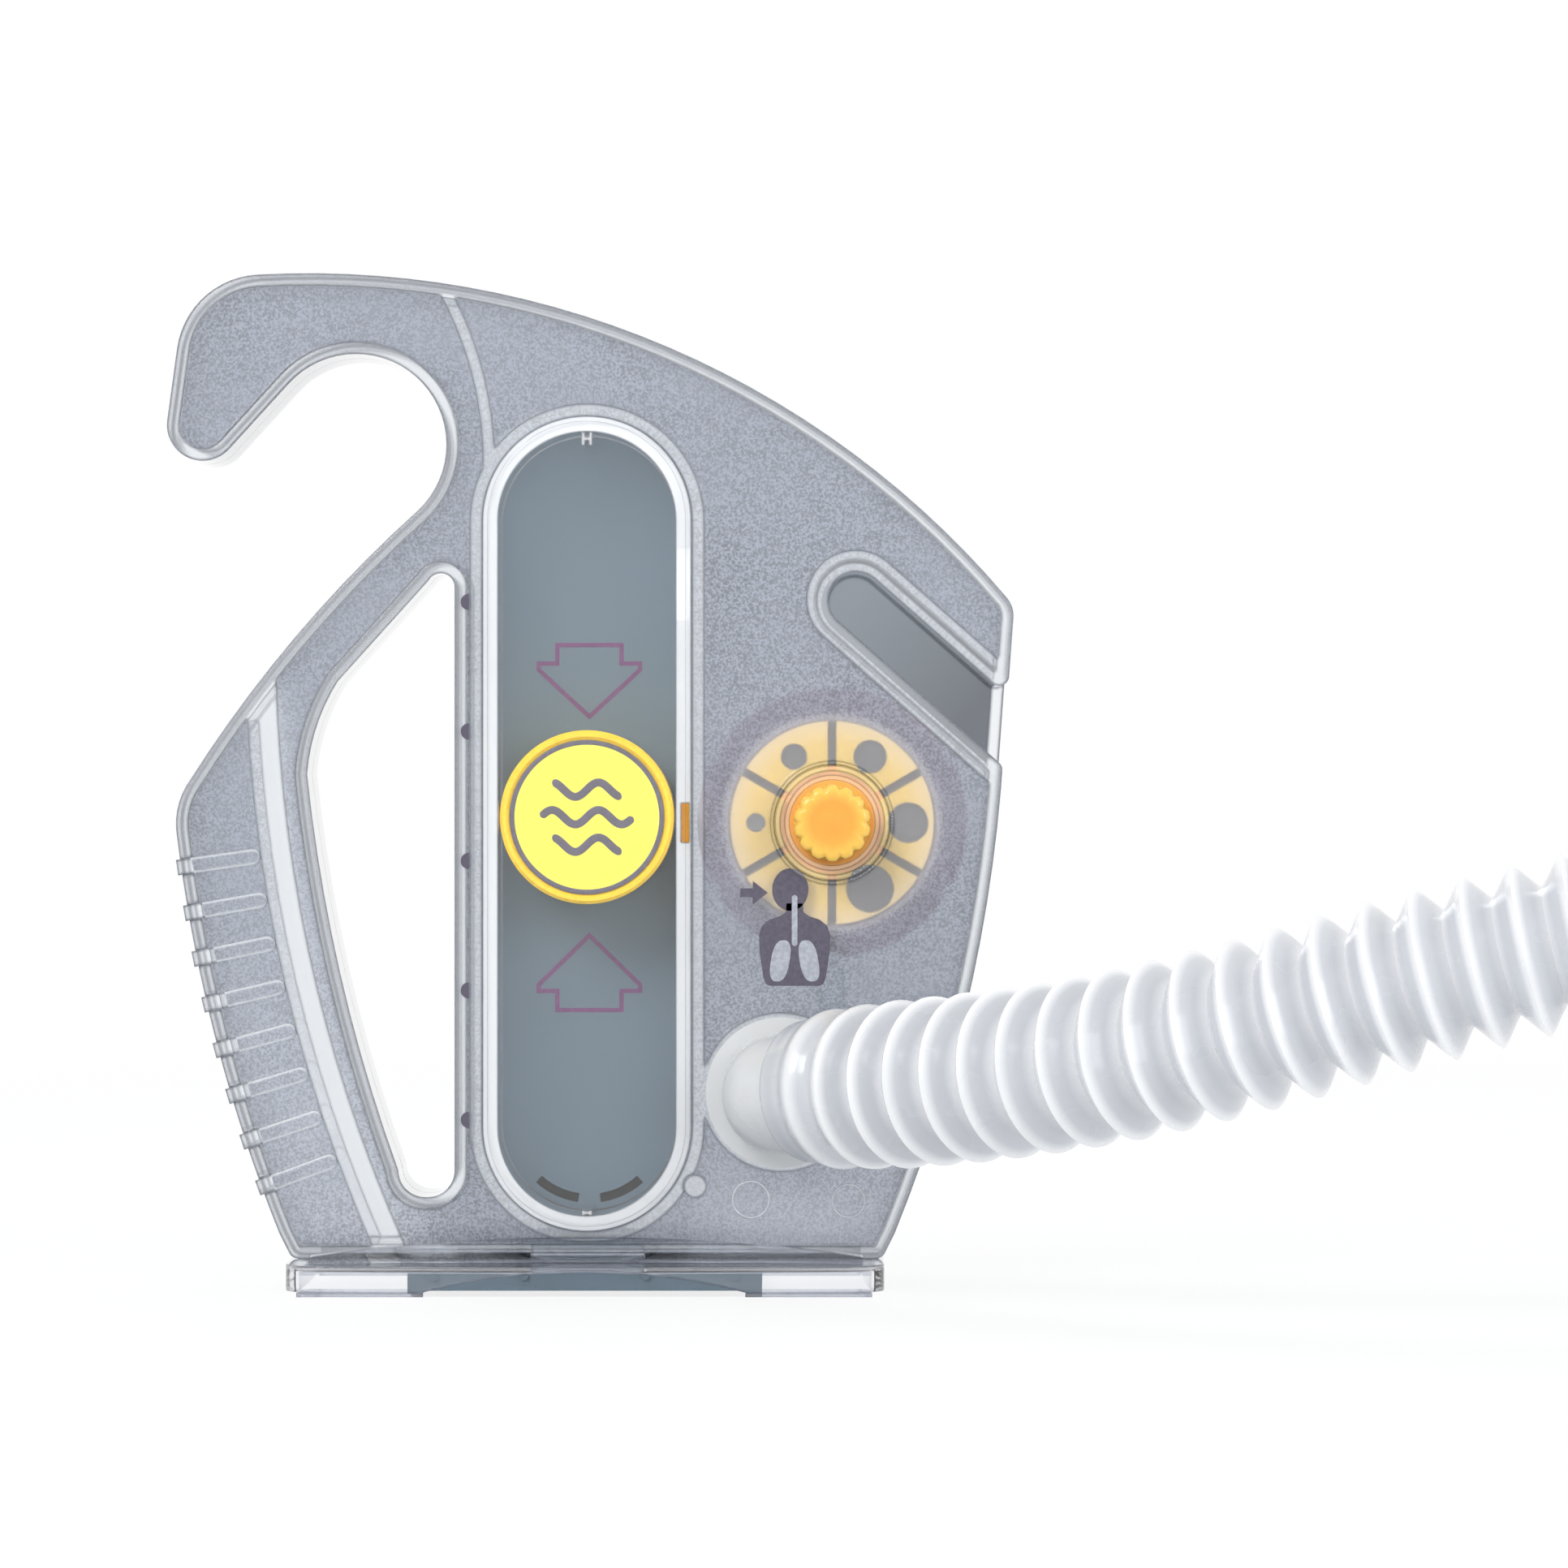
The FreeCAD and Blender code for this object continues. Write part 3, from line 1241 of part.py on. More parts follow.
def hose(doc, size):
    """The free hose as a plain tube of its outer size."""
    points = hose_route(size)
    path, radii = hose_path(points)
    outer = size.hose_diameter / 2
    inner = outer - size.hose_wall
    tube = swept_ring(doc, "hose", path, outer, inner)
    section = math.pi * (outer ** 2 - inner ** 2)
    print("hose length", round(path.Length, 1), "radii", [round(radius) for radius in radii])
    print("hose volume", round(tube.Shape.Volume), "section times length", round(section * path.Length))
    return tube


def hose_cuff(doc, size):
    """The smooth end of the hose, over the port."""
    bend = Vector(size.port_x, size.bend_y, size.port_z)
    start = bend + hose_direction(size) * size.cuff_start
    length = "Sizes.port_length + Sizes.cuff_past - Sizes.cuff_start"
    place = along(start, hose_direction(size))
    outer = cylinder(doc, "cuff_outside", "Sizes.cuff_radius", length, place)
    inner = cylinder(doc, "cuff_inside", "Sizes.port_radius + Sizes.cuff_fit", length, place)
    cuff = doc.addObject("Part::Cut", "hose_cuff")
    cuff.Base = outer
    cuff.Tool = inner
    cuff.Label = "hose_cuff"
    return cuff


def route_end(size):
    points = hose_route(size)
    return points[-1], (points[-1] - points[-2]).normalize()


def mouthpiece_cuff(doc, size):
    """The smooth end of the hose at the mouthpiece."""
    end, direction = route_end(size)
    place = along(end, direction)
    outer = cylinder(doc, "end_cuff_outside", "Sizes.cuff_radius", "Sizes.end_cuff_length", place)
    bore = "Sizes.port_radius + Sizes.cuff_fit"
    inner = cylinder(doc, "end_cuff_inside", bore, "Sizes.end_cuff_length", place)
    cuff = doc.addObject("Part::Cut", "mouthpiece_cuff")
    cuff.Base = outer
    cuff.Tool = inner
    cuff.Label = "mouthpiece_cuff"
    return cuff


def mouth_form(size, inset):
    """The mouthpiece along Z from its cuff's end: a round tail and a cone flattened above and below."""
    root = size.port_radius - inset
    lips = size.mouth_width / 2 - inset
    neck = Vector(0, 0, size.mouth_neck)
    run = size.mouth_length - size.mouth_neck
    tail = Part.makeCylinder(root, size.mouth_socket + size.mouth_neck, Vector(0, 0, -size.mouth_socket))
    cone = Part.makeCone(root, lips, run, neck)
    near = size.port_radius + size.mouth_wall - inset
    far = size.mouth_height / 2 - inset
    corners = [
        Vector(-size.mouth_width, -near, size.mouth_neck),
        Vector(-size.mouth_width, near, size.mouth_neck),
        Vector(-size.mouth_width, far, size.mouth_length),
        Vector(-size.mouth_width, -far, size.mouth_length),
    ]
    wedge = Part.Face(Part.makePolygon(corners + corners[:1])).extrude(Vector(2 * size.mouth_width, 0, 0))
    return tail.fuse(cone.common(wedge))


def mouthpiece(doc, size):
    """The mouthpiece: a round tail in the cuff that widens and flattens for the lips."""
    end, direction = route_end(size)
    sideways = Vector(-direction.y, direction.x, 0).normalize()
    turn = Rotation(sideways, direction.cross(sideways), direction, "ZXY")
    piece = doc.addObject("Part::Feature", "mouthpiece")
    piece.Shape = mouth_form(size, 0.0).cut(mouth_form(size, size.mouth_wall))
    piece.Placement = Placement(end + direction * size.end_cuff_length, turn)
    piece.Label = "mouthpiece"
    return piece


def check(doc, pieces):
    """Stop where an object failed or a piece isn't a valid solid."""
    for item in doc.Objects:
        if "Invalid" in item.State or "Error" in item.State:
            raise RuntimeError(f"{item.Name} failed: {item.State}")
    for piece in pieces:
        shape = piece.Shape
        if shape.isNull() or not shape.isValid() or not shape.Solids:
            raise RuntimeError(f"{piece.Label} is not a valid solid")


def build():
    doc = FreeCAD.newDocument("spirometer")
    size = Sizes(make_sheet(doc))
    channel_top = size.column_head + size.channel_half - size.seam_gap
    channel_foot = size.column_foot - size.channel_half + size.seam_gap
    pieces = [
        back_shell(doc, size),
        front_shell(doc, size),
        float_column(doc, size),
        column_window(doc, size),
        label_card(doc, size),
        float_stop(doc, size, "upper_float_stop", channel_top - size.upper_stop, channel_top),
        float_stop(doc, size, "lower_float_stop", channel_foot, channel_foot + size.lower_stop),
        float_cup(doc, size),
        float_face(doc, size),
        dial_disc(doc, size),
        dial_sectors(doc, size),
        dial_knob(doc, size),
        dial_collar(doc, size),
        dial_axle(doc, size),
        dial_seal(doc, size),
        bypass_tube(doc, size),
        detent_arm(doc, size),
        dial_pointer(doc, size),
        hose_spigot(doc, size),
        spigot_gasket(doc, size),
        base_skirt(doc, size),
        base_insert(doc, size),
        foot_pads(doc, size),
        seam_snaps(doc, size),
        hose_cuff(doc, size),
        hose(doc, size),
        mouthpiece_cuff(doc, size),
        mouthpiece(doc, size),
    ]
    doc.recompute()
    check(doc, pieces)
    os.makedirs("parts", exist_ok=True)
    for piece in pieces:
        piece.Shape.exportStep(f"parts/{piece.Label}.step")
    print(len(pieces), "pieces")


build()
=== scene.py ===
"""Dresses a packed incentive spirometer: its plastics, print, float, dial, hose and stage.

The file is laid out as an add-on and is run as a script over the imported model.
Lengths are in metres. X is to the right, Y to the back and Z up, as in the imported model.
"""

import bpy
import numpy as np
from bpy.props import FloatProperty, FloatVectorProperty, IntProperty, PointerProperty
from bpy.types import Operator, Panel, PropertyGroup
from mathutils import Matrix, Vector


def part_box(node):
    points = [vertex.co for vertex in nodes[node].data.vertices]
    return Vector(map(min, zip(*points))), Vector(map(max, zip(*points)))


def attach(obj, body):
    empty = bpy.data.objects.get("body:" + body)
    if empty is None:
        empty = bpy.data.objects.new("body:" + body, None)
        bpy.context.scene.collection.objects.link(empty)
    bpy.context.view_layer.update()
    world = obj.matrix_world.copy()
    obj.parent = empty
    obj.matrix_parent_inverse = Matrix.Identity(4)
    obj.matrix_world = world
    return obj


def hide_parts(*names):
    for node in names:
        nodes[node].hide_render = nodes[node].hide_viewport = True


bl_info = {
    "name": "Incentive spirometer",
    "version": (1, 0, 0),
    "blender": (4, 5, 0),
    "location": "3D View > Sidebar > Spirometer",
    "description": "Dresses the packed spirometer with its plastics, print, hose and stage",
    "category": "Object",
}

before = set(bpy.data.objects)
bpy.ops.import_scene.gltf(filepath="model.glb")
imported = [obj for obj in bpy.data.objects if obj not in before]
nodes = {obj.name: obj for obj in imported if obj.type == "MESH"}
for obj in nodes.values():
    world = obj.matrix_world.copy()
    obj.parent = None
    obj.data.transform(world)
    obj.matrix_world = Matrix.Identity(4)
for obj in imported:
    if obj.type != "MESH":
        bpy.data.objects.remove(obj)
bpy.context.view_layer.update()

MM = 0.001

# Places on the housing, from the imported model. Depths are distances from the joint plane at Y = 0.
ETCHED_DEPTH = 11.4 * MM
RIB_DEPTH = 12.6 * MM
FLAT_SLACK = 0.04 * MM
RIB_SLOPE = 0.2544
RIB_LINE = -45.8 * MM
DIAL_X = 39.2 * MM
DIAL_Z = 74.7 * MM
SLOT_X = 43.0 * MM
SLOT_Z = 110.4 * MM
SLOT_LEAN = np.radians(-41.4)
SLOT_HALF = 5.4 * MM
FOOT_Z = 26.1 * MM

# The hose's line, from the end of its first cuff to the start of the last one.
HOSE_ROUTE = (
    (0.0479, -0.0349, 0.0337),
    (0.0660, -0.0530, 0.0359),
    (0.0950, -0.0745, 0.0423),
    (0.1360, -0.0895, 0.0550),
    (0.1800, -0.0945, 0.0640),
    (0.2260, -0.0915, 0.0635),
    (0.2680, -0.0820, 0.0510),
    (0.3060, -0.0715, 0.0315),
    (0.3480, -0.0630, 0.0165),
    (0.3830, -0.0585, 0.0134),
)


def colour(name, default, description):
    return FloatVectorProperty(
        name=name, description=description, default=default, subtype="COLOR", size=3, min=0, max=1
    )


def length(name, default, description):
    return FloatProperty(name=name, description=description, default=default, unit="LENGTH", precision=5)


class PlasticSettings(PropertyGroup):
    """Colours of the moulded and printed pieces, as linear red, green and blue."""

    polished: colour("Polished", (0.94, 0.96, 0.98), "Clear plastic on beads, walls and the column")
    frosted: colour("Frosted", (0.44, 0.465, 0.53), "Etched faces of the front half")
    rear: colour("Rear", (0.44, 0.465, 0.53), "Etched faces of the rear half")
    # Painted shade and painted dark reflections: clear plastic takes this colour along its edges, where it is
    # seen edge-on and, on the housing, on roundings that look up or down.
    edge: colour("Edge", (0.10, 0.11, 0.14), "Clear plastic where it is seen edge-on")
    card: colour("Label card", (0.115, 0.160, 0.200), "Card behind the float")
    print_mauve: colour("Arrow print", (0.13, 0.035, 0.13), "Arrows on the label card")
    print_dark: colour("Dark print", (0.10, 0.088, 0.125), "Marks on the float and the breathing sign")
    float_rim: colour("Float rim", (1.0, 0.64, 0.02), "Raised rim of the float")
    float_face: colour("Float face", (1.0, 0.88, 0.09), "Face of the float")
    dial_grey: colour("Dial", (0.36, 0.31, 0.355), "Rim of the dial disc")
    dial_band: colour("Dial band", (0.55, 0.51, 0.53), "Pale band inside that rim")
    dial_hub: colour("Dial hub", (1.0, 0.50, 0.12), "Dial disc under the collar")
    dial_pads: colour("Dial pads", (1.0, 0.68, 0.13), "Sectors of the dial")
    # Painted shade: a near-black for the screens in the dial's ports, the strips in the column's inlets and
    # the disc between the pads.
    gauze: colour("Gauze", (0.10, 0.10, 0.105), "Gauze in the dial's ports")
    knob: colour("Knob", (1.0, 0.43, 0.05), "Knob of the dial")
    knob_rim: colour("Knob rim", (1.0, 0.64, 0.10), "Rim of the knob")
    hose: colour("Hose", (0.88, 0.885, 0.90), "Corrugated hose and its cuffs")
    hose_shade: colour("Hose shade", (0.56, 0.575, 0.605), "Corrugated hose between its crests")
    mouthpiece: colour("Mouthpiece", (0.84, 0.85, 0.86), "Mouthpiece")


class HoseSettings(PropertyGroup):
    """Sizes of the corrugated hose."""

    crest: length("Crest radius", 13.2 * MM, "Radius at the corrugations' crests")
    root: length("Root radius", 8.9 * MM, "Radius between the corrugations")
    wall: length("Wall", 0.55 * MM, "Wall of the hose")
    pitch: length("Pitch", 7.3 * MM, "Step from crest to crest")
    softness: FloatProperty(name="Softness", description="Share of cosine in a crest's shape", default=0.16)
    soft_reach: length("Soft reach", 62 * MM, "Run over which the crests go from round to sharp")
    real_length: length("Length", 367.0 * MM, "Length along the hose's line")
    cuff_radius: length("Cuff radius", 11.3 * MM, "Outside of the smooth cuffs")
    cuff_bore: length("Cuff bore", 9.6 * MM, "Inside of the smooth cuffs")


class DetailSettings(PropertyGroup):
    """Sizes of the print, the float's marks and the knob."""

    line: length("Line", 0.7 * MM, "Line width of the arrows")
    ink: length("Ink", 0.05 * MM, "Thickness of printed ink")
    mark: length("Mark", 1.3 * MM, "Width of the float's wavy bars")
    flutes: IntProperty(name="Flutes", description="Flutes round the knob", default=14, min=3, max=40)
    flute_depth: length("Flute depth", 0.55 * MM, "Depth of the knob's flutes")
    # Sizes of the dark screens in the dial's ports, which stand in for shade: painted shade.
    shade_screen_pitch: length("Gauze pitch", 0.5 * MM, "Step between the wires of the ports' gauze")
    shade_screen_wire: length("Gauze wire", 0.28 * MM, "Width of a wire of that gauze")


class StageSettings(PropertyGroup):
    """Camera, lamps and sky."""

    distance: length("Distance", 1.112, "Camera in front of the object")
    lens: FloatProperty(name="Lens", description="Focal length in millimetres", default=157.9)
    world: FloatProperty(name="Sky", description="Strength of the sky on the object", default=0.72)
    key: FloatProperty(name="Key lamp", description="Power of the main lamp", default=5.0, unit="POWER")
    fill: FloatProperty(name="Fill lamp", description="Power of the second lamp", default=2.5, unit="POWER")
    rim: FloatProperty(name="Rim lamp", description="Power of the lamp behind", default=3.0, unit="POWER")


# Surfaces. Each is a lattice of points, rows by columns, worked out as whole arrays.

def lattice(rows, columns, close_rows, close_columns):
    """Quads between neighbours of a lattice. A closed side joins the last row or column to the first."""
    i = np.arange(rows if close_rows else rows - 1)[:, None]
    j = np.arange(columns if close_columns else columns - 1)[None, :]
    k = (i + 1) % rows
    m = (j + 1) % columns
    corners = (i * columns + j, i * columns + m, k * columns + m, k * columns + j)
    return np.stack(np.broadcast_arrays(*corners), -1).reshape(-1, 4)


def fan(ring, pole):
    """Triangles from one row of points to a pole."""
    return np.stack([ring, np.roll(ring, -1), np.full_like(ring, pole)], -1)


def signed_volume(points, quads, triangles):
    """Volume under the faces. It is negative where they point inwards."""
    sides = np.concatenate([quads[:, [0, 1, 2]], quads[:, [0, 2, 3]], triangles])
    a, b, c = (points[sides[:, n]] for n in range(3))
    return float((a * np.cross(b, c)).sum() / 6)


def make_mesh(name, points, close_rows=False, close_columns=True, poles=None):
    """A mesh from a (rows, columns, 3) lattice, with a pole closing each end where two are given."""
    rows, columns = points.shape[:2]
    flat = points.reshape(-1, 3)
    quads = lattice(rows, columns, close_rows, close_columns)
    triangles = np.zeros((0, 3), int)
    if poles is not None:
        first = fan(np.arange(columns), rows * columns)[:, ::-1]
        last = fan(np.arange((rows - 1) * columns, rows * columns), rows * columns + 1)
        triangles = np.concatenate([first, last])
        flat = np.concatenate([flat, np.asarray(poles, float)])
    if signed_volume(flat - flat.mean(0), quads, triangles) < 0:
        quads = quads[:, ::-1]
        triangles = triangles[:, ::-1]
    mesh = bpy.data.meshes.new(name)
    mesh.from_pydata(flat, [], list(map(tuple, quads)) + list(map(tuple, triangles)))
    mesh.polygons.foreach_set("use_smooth", np.ones(len(mesh.polygons), bool))
    mesh.set_sharp_from_angle(angle=np.radians(38))
    mesh.validate()
    return mesh


def mark_points(mesh, name, values):
    """Store one number for each point, for a material to read."""
    mark = mesh.attributes.new(name, "FLOAT", "POINT")
    mark.data.foreach_set("value", np.asarray(values, np.float32))


def add_piece(name, mesh, material, body, replaces=()):
    """Put a mesh in the scene as a piece that rides on a body."""
    piece = bpy.data.objects.new(name, mesh)
    bpy.context.scene.collection.objects.link(piece)
    mesh.materials.append(material)
    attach(piece, body)
    if replaces:
        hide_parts(*replaces)
    return piece


def turned(section, origin, axis, columns=96, closed=False, grooves=None):
    """A surface of revolution: (radius, distance) points turned round an axis.

    Point = origin + axis * distance + radius * (side * cos(angle) + up * sin(angle)). Where grooves are
    given, the radius is multiplied by them, row by row and angle by angle.
    """
    axis = np.asarray(axis, float) / np.linalg.norm(axis)
    helper = np.array([0.0, 0.0, 1.0]) if abs(axis[2]) < 0.9 else np.array([1.0, 0.0, 0.0])
    side = np.cross(helper, axis)
    side /= np.linalg.norm(side)
    up = np.cross(axis, side)
    section = np.asarray(section, float)
    angle = np.linspace(0, 2 * np.pi, columns, endpoint=False)
    radius = section[:, 0][:, None] * np.ones(columns)
    if grooves is not None:
        radius = radius * grooves(angle)
    around = np.cos(angle)[None, :, None] * side + np.sin(angle)[None, :, None] * up
    return np.asarray(origin) + section[:, 1][:, None, None] * axis + radius[..., None] * around


def swept(path, side, up, across, height):
    """A section carried along a path: point = path + side * across + up * height, row by row."""
    return path[:, None, :] + side[:, None, :] * across[..., None] + up[:, None, :] * height[..., None]


def plate(boundary, centre, front, back):
    """A thin plate square to Y round a star-shaped boundary in X and Z, and its two poles."""
    levels = np.array([front, back])
    points = np.zeros((2, len(boundary), 3))
    points[..., 0] = boundary[:, 0]
    points[..., 1] = levels[:, None]
    points[..., 2] = boundary[:, 1]
    poles = [(centre[0], front, centre[1]), (centre[0], back, centre[1])]
    return points, poles


def oval(centre, wide, high, power=2.0, count=72):
    """A superellipse in X and Z: |x / wide| ** power + |z / high| ** power = 1."""
    angle = np.linspace(0, 2 * np.pi, count, endpoint=False)
    x = np.sign(np.cos(angle)) * np.abs(np.cos(angle)) ** (2 / power)
    z = np.sign(np.sin(angle)) * np.abs(np.sin(angle)) ** (2 / power)
    return np.stack([centre[0] + wide * x, centre[1] + high * z], -1)


def mitred(corners, width):
    """A closed line's outer and inner edges, with mitred corners.

    At a corner with edge normals n and m the edge moves by (n + m) / (1 + n.m) for each unit of width.
    """
    along = np.roll(corners, -1, 0) - corners
    along /= np.linalg.norm(along, axis=1)[:, None]
    normal = np.stack([along[:, 1], -along[:, 0]], -1)
    before = np.roll(normal, 1, 0)
    reach = (normal + before) / (1 + (normal * before).sum(1))[:, None]
    return corners + reach * width / 2, corners - reach * width / 2


def outline_mesh(name, corners, width, front, back):
    """A closed printed line of one width, as a flat ring with a rectangular section."""
    outer, inner = mitred(corners, width)
    points = np.zeros((len(corners), 4, 3))
    for column, (edge, depth) in enumerate(((outer, front), (inner, front), (inner, back), (outer, back))):
        points[:, column, 0] = edge[:, 0]
        points[:, column, 1] = depth
        points[:, column, 2] = edge[:, 1]
    return make_mesh(name, points, close_rows=True)


def ribbon_mesh(name, x, z, width, front, thickness):
    """A printed or moulded bar along a line in X and Z, domed, with round ends.

    The section is an ellipse. Its half width is width / 2 * sqrt(1 - (e / w) ** 2) within w of an end,
    where e is how far the point has gone into the end, so the ends close as half circles.
    """
    path = np.stack([x, np.full_like(x, front), z], -1)
    step = np.linalg.norm(np.diff(path, axis=0), axis=1)
    run = np.concatenate([[0], np.cumsum(step)])
    half = width / 2
    into = np.clip(half - np.minimum(run, run[-1] - run), 0, half)
    spread = np.sqrt(np.clip(1 - (into / half) ** 2, 0.0004, 1))
    along = np.gradient(path, axis=0)
    along /= np.linalg.norm(along, axis=1)[:, None]
    up = np.tile([0.0, -1.0, 0.0], (len(path), 1))
    side = np.cross(along, up)
    angle = np.linspace(0, 2 * np.pi, 16, endpoint=False)
    across = half * spread[:, None] * np.cos(angle)
    height = thickness * spread[:, None] * np.sin(angle)
    return make_mesh(name, swept(path, side, up, across, height), poles=[path[0], path[-1]])


# Materials

class Shader:
    """A material's node tree with short ways to add nodes and links."""

    def __init__(self, name):
        self.material = bpy.data.materials.new(name)
        self.material.use_nodes = True
        self.tree = self.material.node_tree
        self.tree.nodes.clear()
        self.output = self.add("ShaderNodeOutputMaterial")
        self.surface = self.add("ShaderNodeBsdfPrincipled")
        self.link(self.surface.outputs["BSDF"], self.output.inputs["Surface"])
        self.place = self.add("ShaderNodeTexCoord").outputs["Object"]

    def add(self, kind, **settings):
        node = self.tree.nodes.new(kind)
        for key, value in settings.items():
            setattr(node, key, value)
        return node

    def link(self, source, target):
        self.tree.links.new(source, target)

    def set(self, **values):
        """Set the plastic's own inputs, which are named with underscores here."""
        for key, value in values.items():
            self.surface.inputs[key.replace("_", " ")].default_value = value

    def noise(self, scale, detail=3.0, stretch=None):
        """Noise on Object coordinates, about scale lumps to the metre."""
        node = self.add("ShaderNodeTexNoise")
        node.inputs["Scale"].default_value = scale
        node.inputs["Detail"].default_value = detail
        node.inputs["Roughness"].default_value = 0.55
        source = self.place
        if stretch is not None:
            mapping = self.add("ShaderNodeMapping")
            mapping.inputs["Scale"].default_value = stretch
            self.link(self.place, mapping.inputs["Vector"])
            source = mapping.outputs["Vector"]
        self.link(source, node.inputs["Vector"])
        return node.outputs["Fac"]

    def ramp(self, source, low, high, out_low, out_high):
        """The source's range from low to high, mapped to another range and held at its ends."""
        node = self.add("ShaderNodeMapRange")
        for key, value in (("From Min", low), ("From Max", high), ("To Min", out_low), ("To Max", out_high)):
            node.inputs[key].default_value = value
        self.link(source, node.inputs["Value"])
        return node.outputs["Result"]

    def mix(self, factor, first, second):
        """Two colours, or colour sockets, mixed by a factor."""
        node = self.add("ShaderNodeMix", data_type="RGBA")
        self.link(factor, node.inputs["Factor"])
        for key, value in (("A", first), ("B", second)):
            socket = [s for s in node.inputs if s.name == key and s.type == "RGBA"][0]
            if isinstance(value, bpy.types.NodeSocket):
                self.link(value, socket)
            else:
                socket.default_value = (*value, 1.0)
        return [s for s in node.outputs if s.type == "RGBA"][0]

    def between(self, source, low, high, first, second):
        """The first colour where the source is low, the second where it is high."""
        return self.mix(self.ramp(source, low, high, 0, 1), first, second)

    def base_colour(self, source):
        self.link(source, self.surface.inputs["Base Color"])

    def roughness(self, source, low, high, smooth, rough):
        """Roughness from smooth to rough as the source goes from low to high."""
        self.link(self.ramp(source, low, high, smooth, rough), self.surface.inputs["Roughness"])

    def math(self, operation, first, second=None):
        """A sum or comparison of sockets or numbers."""
        node = self.add("ShaderNodeMath", operation=operation)
        for index, value in enumerate((first, second)):
            if value is None:
                continue
            if isinstance(value, bpy.types.NodeSocket):
                self.link(value, node.inputs[index])
            else:
                node.inputs[index].default_value = value
        return node.outputs["Value"]

    def bump(self, height, distance, strength):
        """Fine relief from a height socket."""
        node = self.add("ShaderNodeBump")
        node.inputs["Distance"].default_value = distance
        node.inputs["Strength"].default_value = strength
        self.link(height, node.inputs["Height"])
        self.link(node.outputs["Normal"], self.surface.inputs["Normal"])

    def let_lamps_through(self, share):
        """Let this share of the lamps' light pass straight through, so that what is inside is lit."""
        shadow = self.add("ShaderNodeLightPath").outputs["Is Shadow Ray"]
        self.link(self.ramp(shadow, 0, 1, 1, 1 - share), self.surface.inputs["Alpha"])

    def axes(self, source=None):
        """The X, Y and Z of a place, or of another vector socket."""
        split = self.add("ShaderNodeSeparateXYZ")
        self.link(source or self.place, split.inputs["Vector"])
        return split.outputs["X"], split.outputs["Y"], split.outputs["Z"]

    def depth(self):
        """Distance of a point from the housing's joint plane."""
        return self.math("ABSOLUTE", self.axes()[1])

    def near(self, source, value, slack):
        """1 within slack of a value, else 0."""
        near = self.math("COMPARE", source, value)
        near.node.inputs[2].default_value = slack
        return near

    def radius(self, x, z):
        """Distance from a line along Y through x and z: sqrt((X - x) ** 2 + (Z - z) ** 2)."""
        across, _, up = self.axes()
        across = self.math("POWER", self.math("ABSOLUTE", self.math("SUBTRACT", across, x)), 2)
        up = self.math("POWER", self.math("ABSOLUTE", self.math("SUBTRACT", up, z)), 2)
        return self.math("SQRT", self.math("ADD", across, up))

    def slot_shape(self, x, z, lean, half):
        """1 inside a straight slot with a round end, with how far along it a point is.

        along = (X - x) * cos(lean) + (Z - z) * sin(lean), off = the same turned by a right angle, and a
        point is inside where sqrt(min(along, 0) ** 2 + off ** 2) is under the half width.
        """
        across, _, up = self.axes()
        across = self.math("SUBTRACT", across, x)
        up = self.math("SUBTRACT", up, z)
        cosine, sine = float(np.cos(lean)), float(np.sin(lean))
        along = self.math("ADD", self.math("MULTIPLY", across, cosine), self.math("MULTIPLY", up, sine))
        off = self.math("SUBTRACT", self.math("MULTIPLY", up, cosine), self.math("MULTIPLY", across, sine))
        behind = self.math("POWER", self.math("ABSOLUTE", self.math("MINIMUM", along, 0.0)), 2)
        aside = self.math("POWER", self.math("ABSOLUTE", off), 2)
        return self.math("LESS_THAN", self.math("SQRT", self.math("ADD", behind, aside)), half), along


def shade(base, amount):
    """A colour made lighter or darker by a factor."""
    return tuple(channel * amount for channel in base)


def clear_shader(name, soft, lamps, upper=0.0):
    """A shader for clear polystyrene: light goes straight through and the coat keeps its gloss.

    The edge value is 1 where the rounded surface leans away from the flat one, close to an edge, and where
    a surface is seen nearly edge-on. It is 0 elsewhere. The materials mix their dark edge colour in by it, as
    painted shade and painted dark reflections. Upper is how much of it goes to the whole rounding where that
    looks up or down, a painted shade by direction. Lamps is the share of lamplight let through.
    """
    shader = Shader(name)
    shader.set(Transmission_Weight=1.0, IOR=1.12, Coat_Weight=1.0, Coat_IOR=1.5, Coat_Roughness=0.04)
    rounded = shader.add("ShaderNodeBevel", samples=6)
    rounded.inputs["Radius"].default_value = soft
    shader.link(rounded.outputs["Normal"], shader.surface.inputs["Coat Normal"])
    shader.link(rounded.outputs["Normal"], shader.surface.inputs["Normal"])
    same = shader.add("ShaderNodeVectorMath", operation="DOT_PRODUCT")
    shader.link(rounded.outputs["Normal"], same.inputs[0])
    shader.link(shader.add("ShaderNodeNewGeometry").outputs["Normal"], same.inputs[1])
    lean = shader.math("SUBTRACT", 1.0, shader.math("ABSOLUTE", same.outputs["Value"]))
    shader.level = shader.math("ABSOLUTE", shader.axes(rounded.outputs["Normal"])[2])
    rounding = shader.ramp(lean, 0.002, 0.02, 0, 1)
    # Painted shade by direction: roundings that look up or down take the dark edge colour, by upper.
    looks_up = shader.math("MULTIPLY", shader.ramp(shader.level, 0.1, 0.5, 0.0, upper), rounding)
    # Painted dark reflection: surfaces seen nearly edge-on take the dark edge colour.
    grazing = shader.add("ShaderNodeLayerWeight")
    shader.link(rounded.outputs["Normal"], grazing.inputs["Normal"])
    grazed = shader.ramp(grazing.outputs["Facing"], 0.42, 0.8, 0.0, 0.85)
    painted_edge_shade = shader.math("MAXIMUM", looks_up, grazed)
    shader.edge = shader.math("MAXIMUM", shader.ramp(lean, 0.005, 0.11, 0.0, 1.0), painted_edge_shade)
    shader.let_lamps_through(lamps)
    return shader


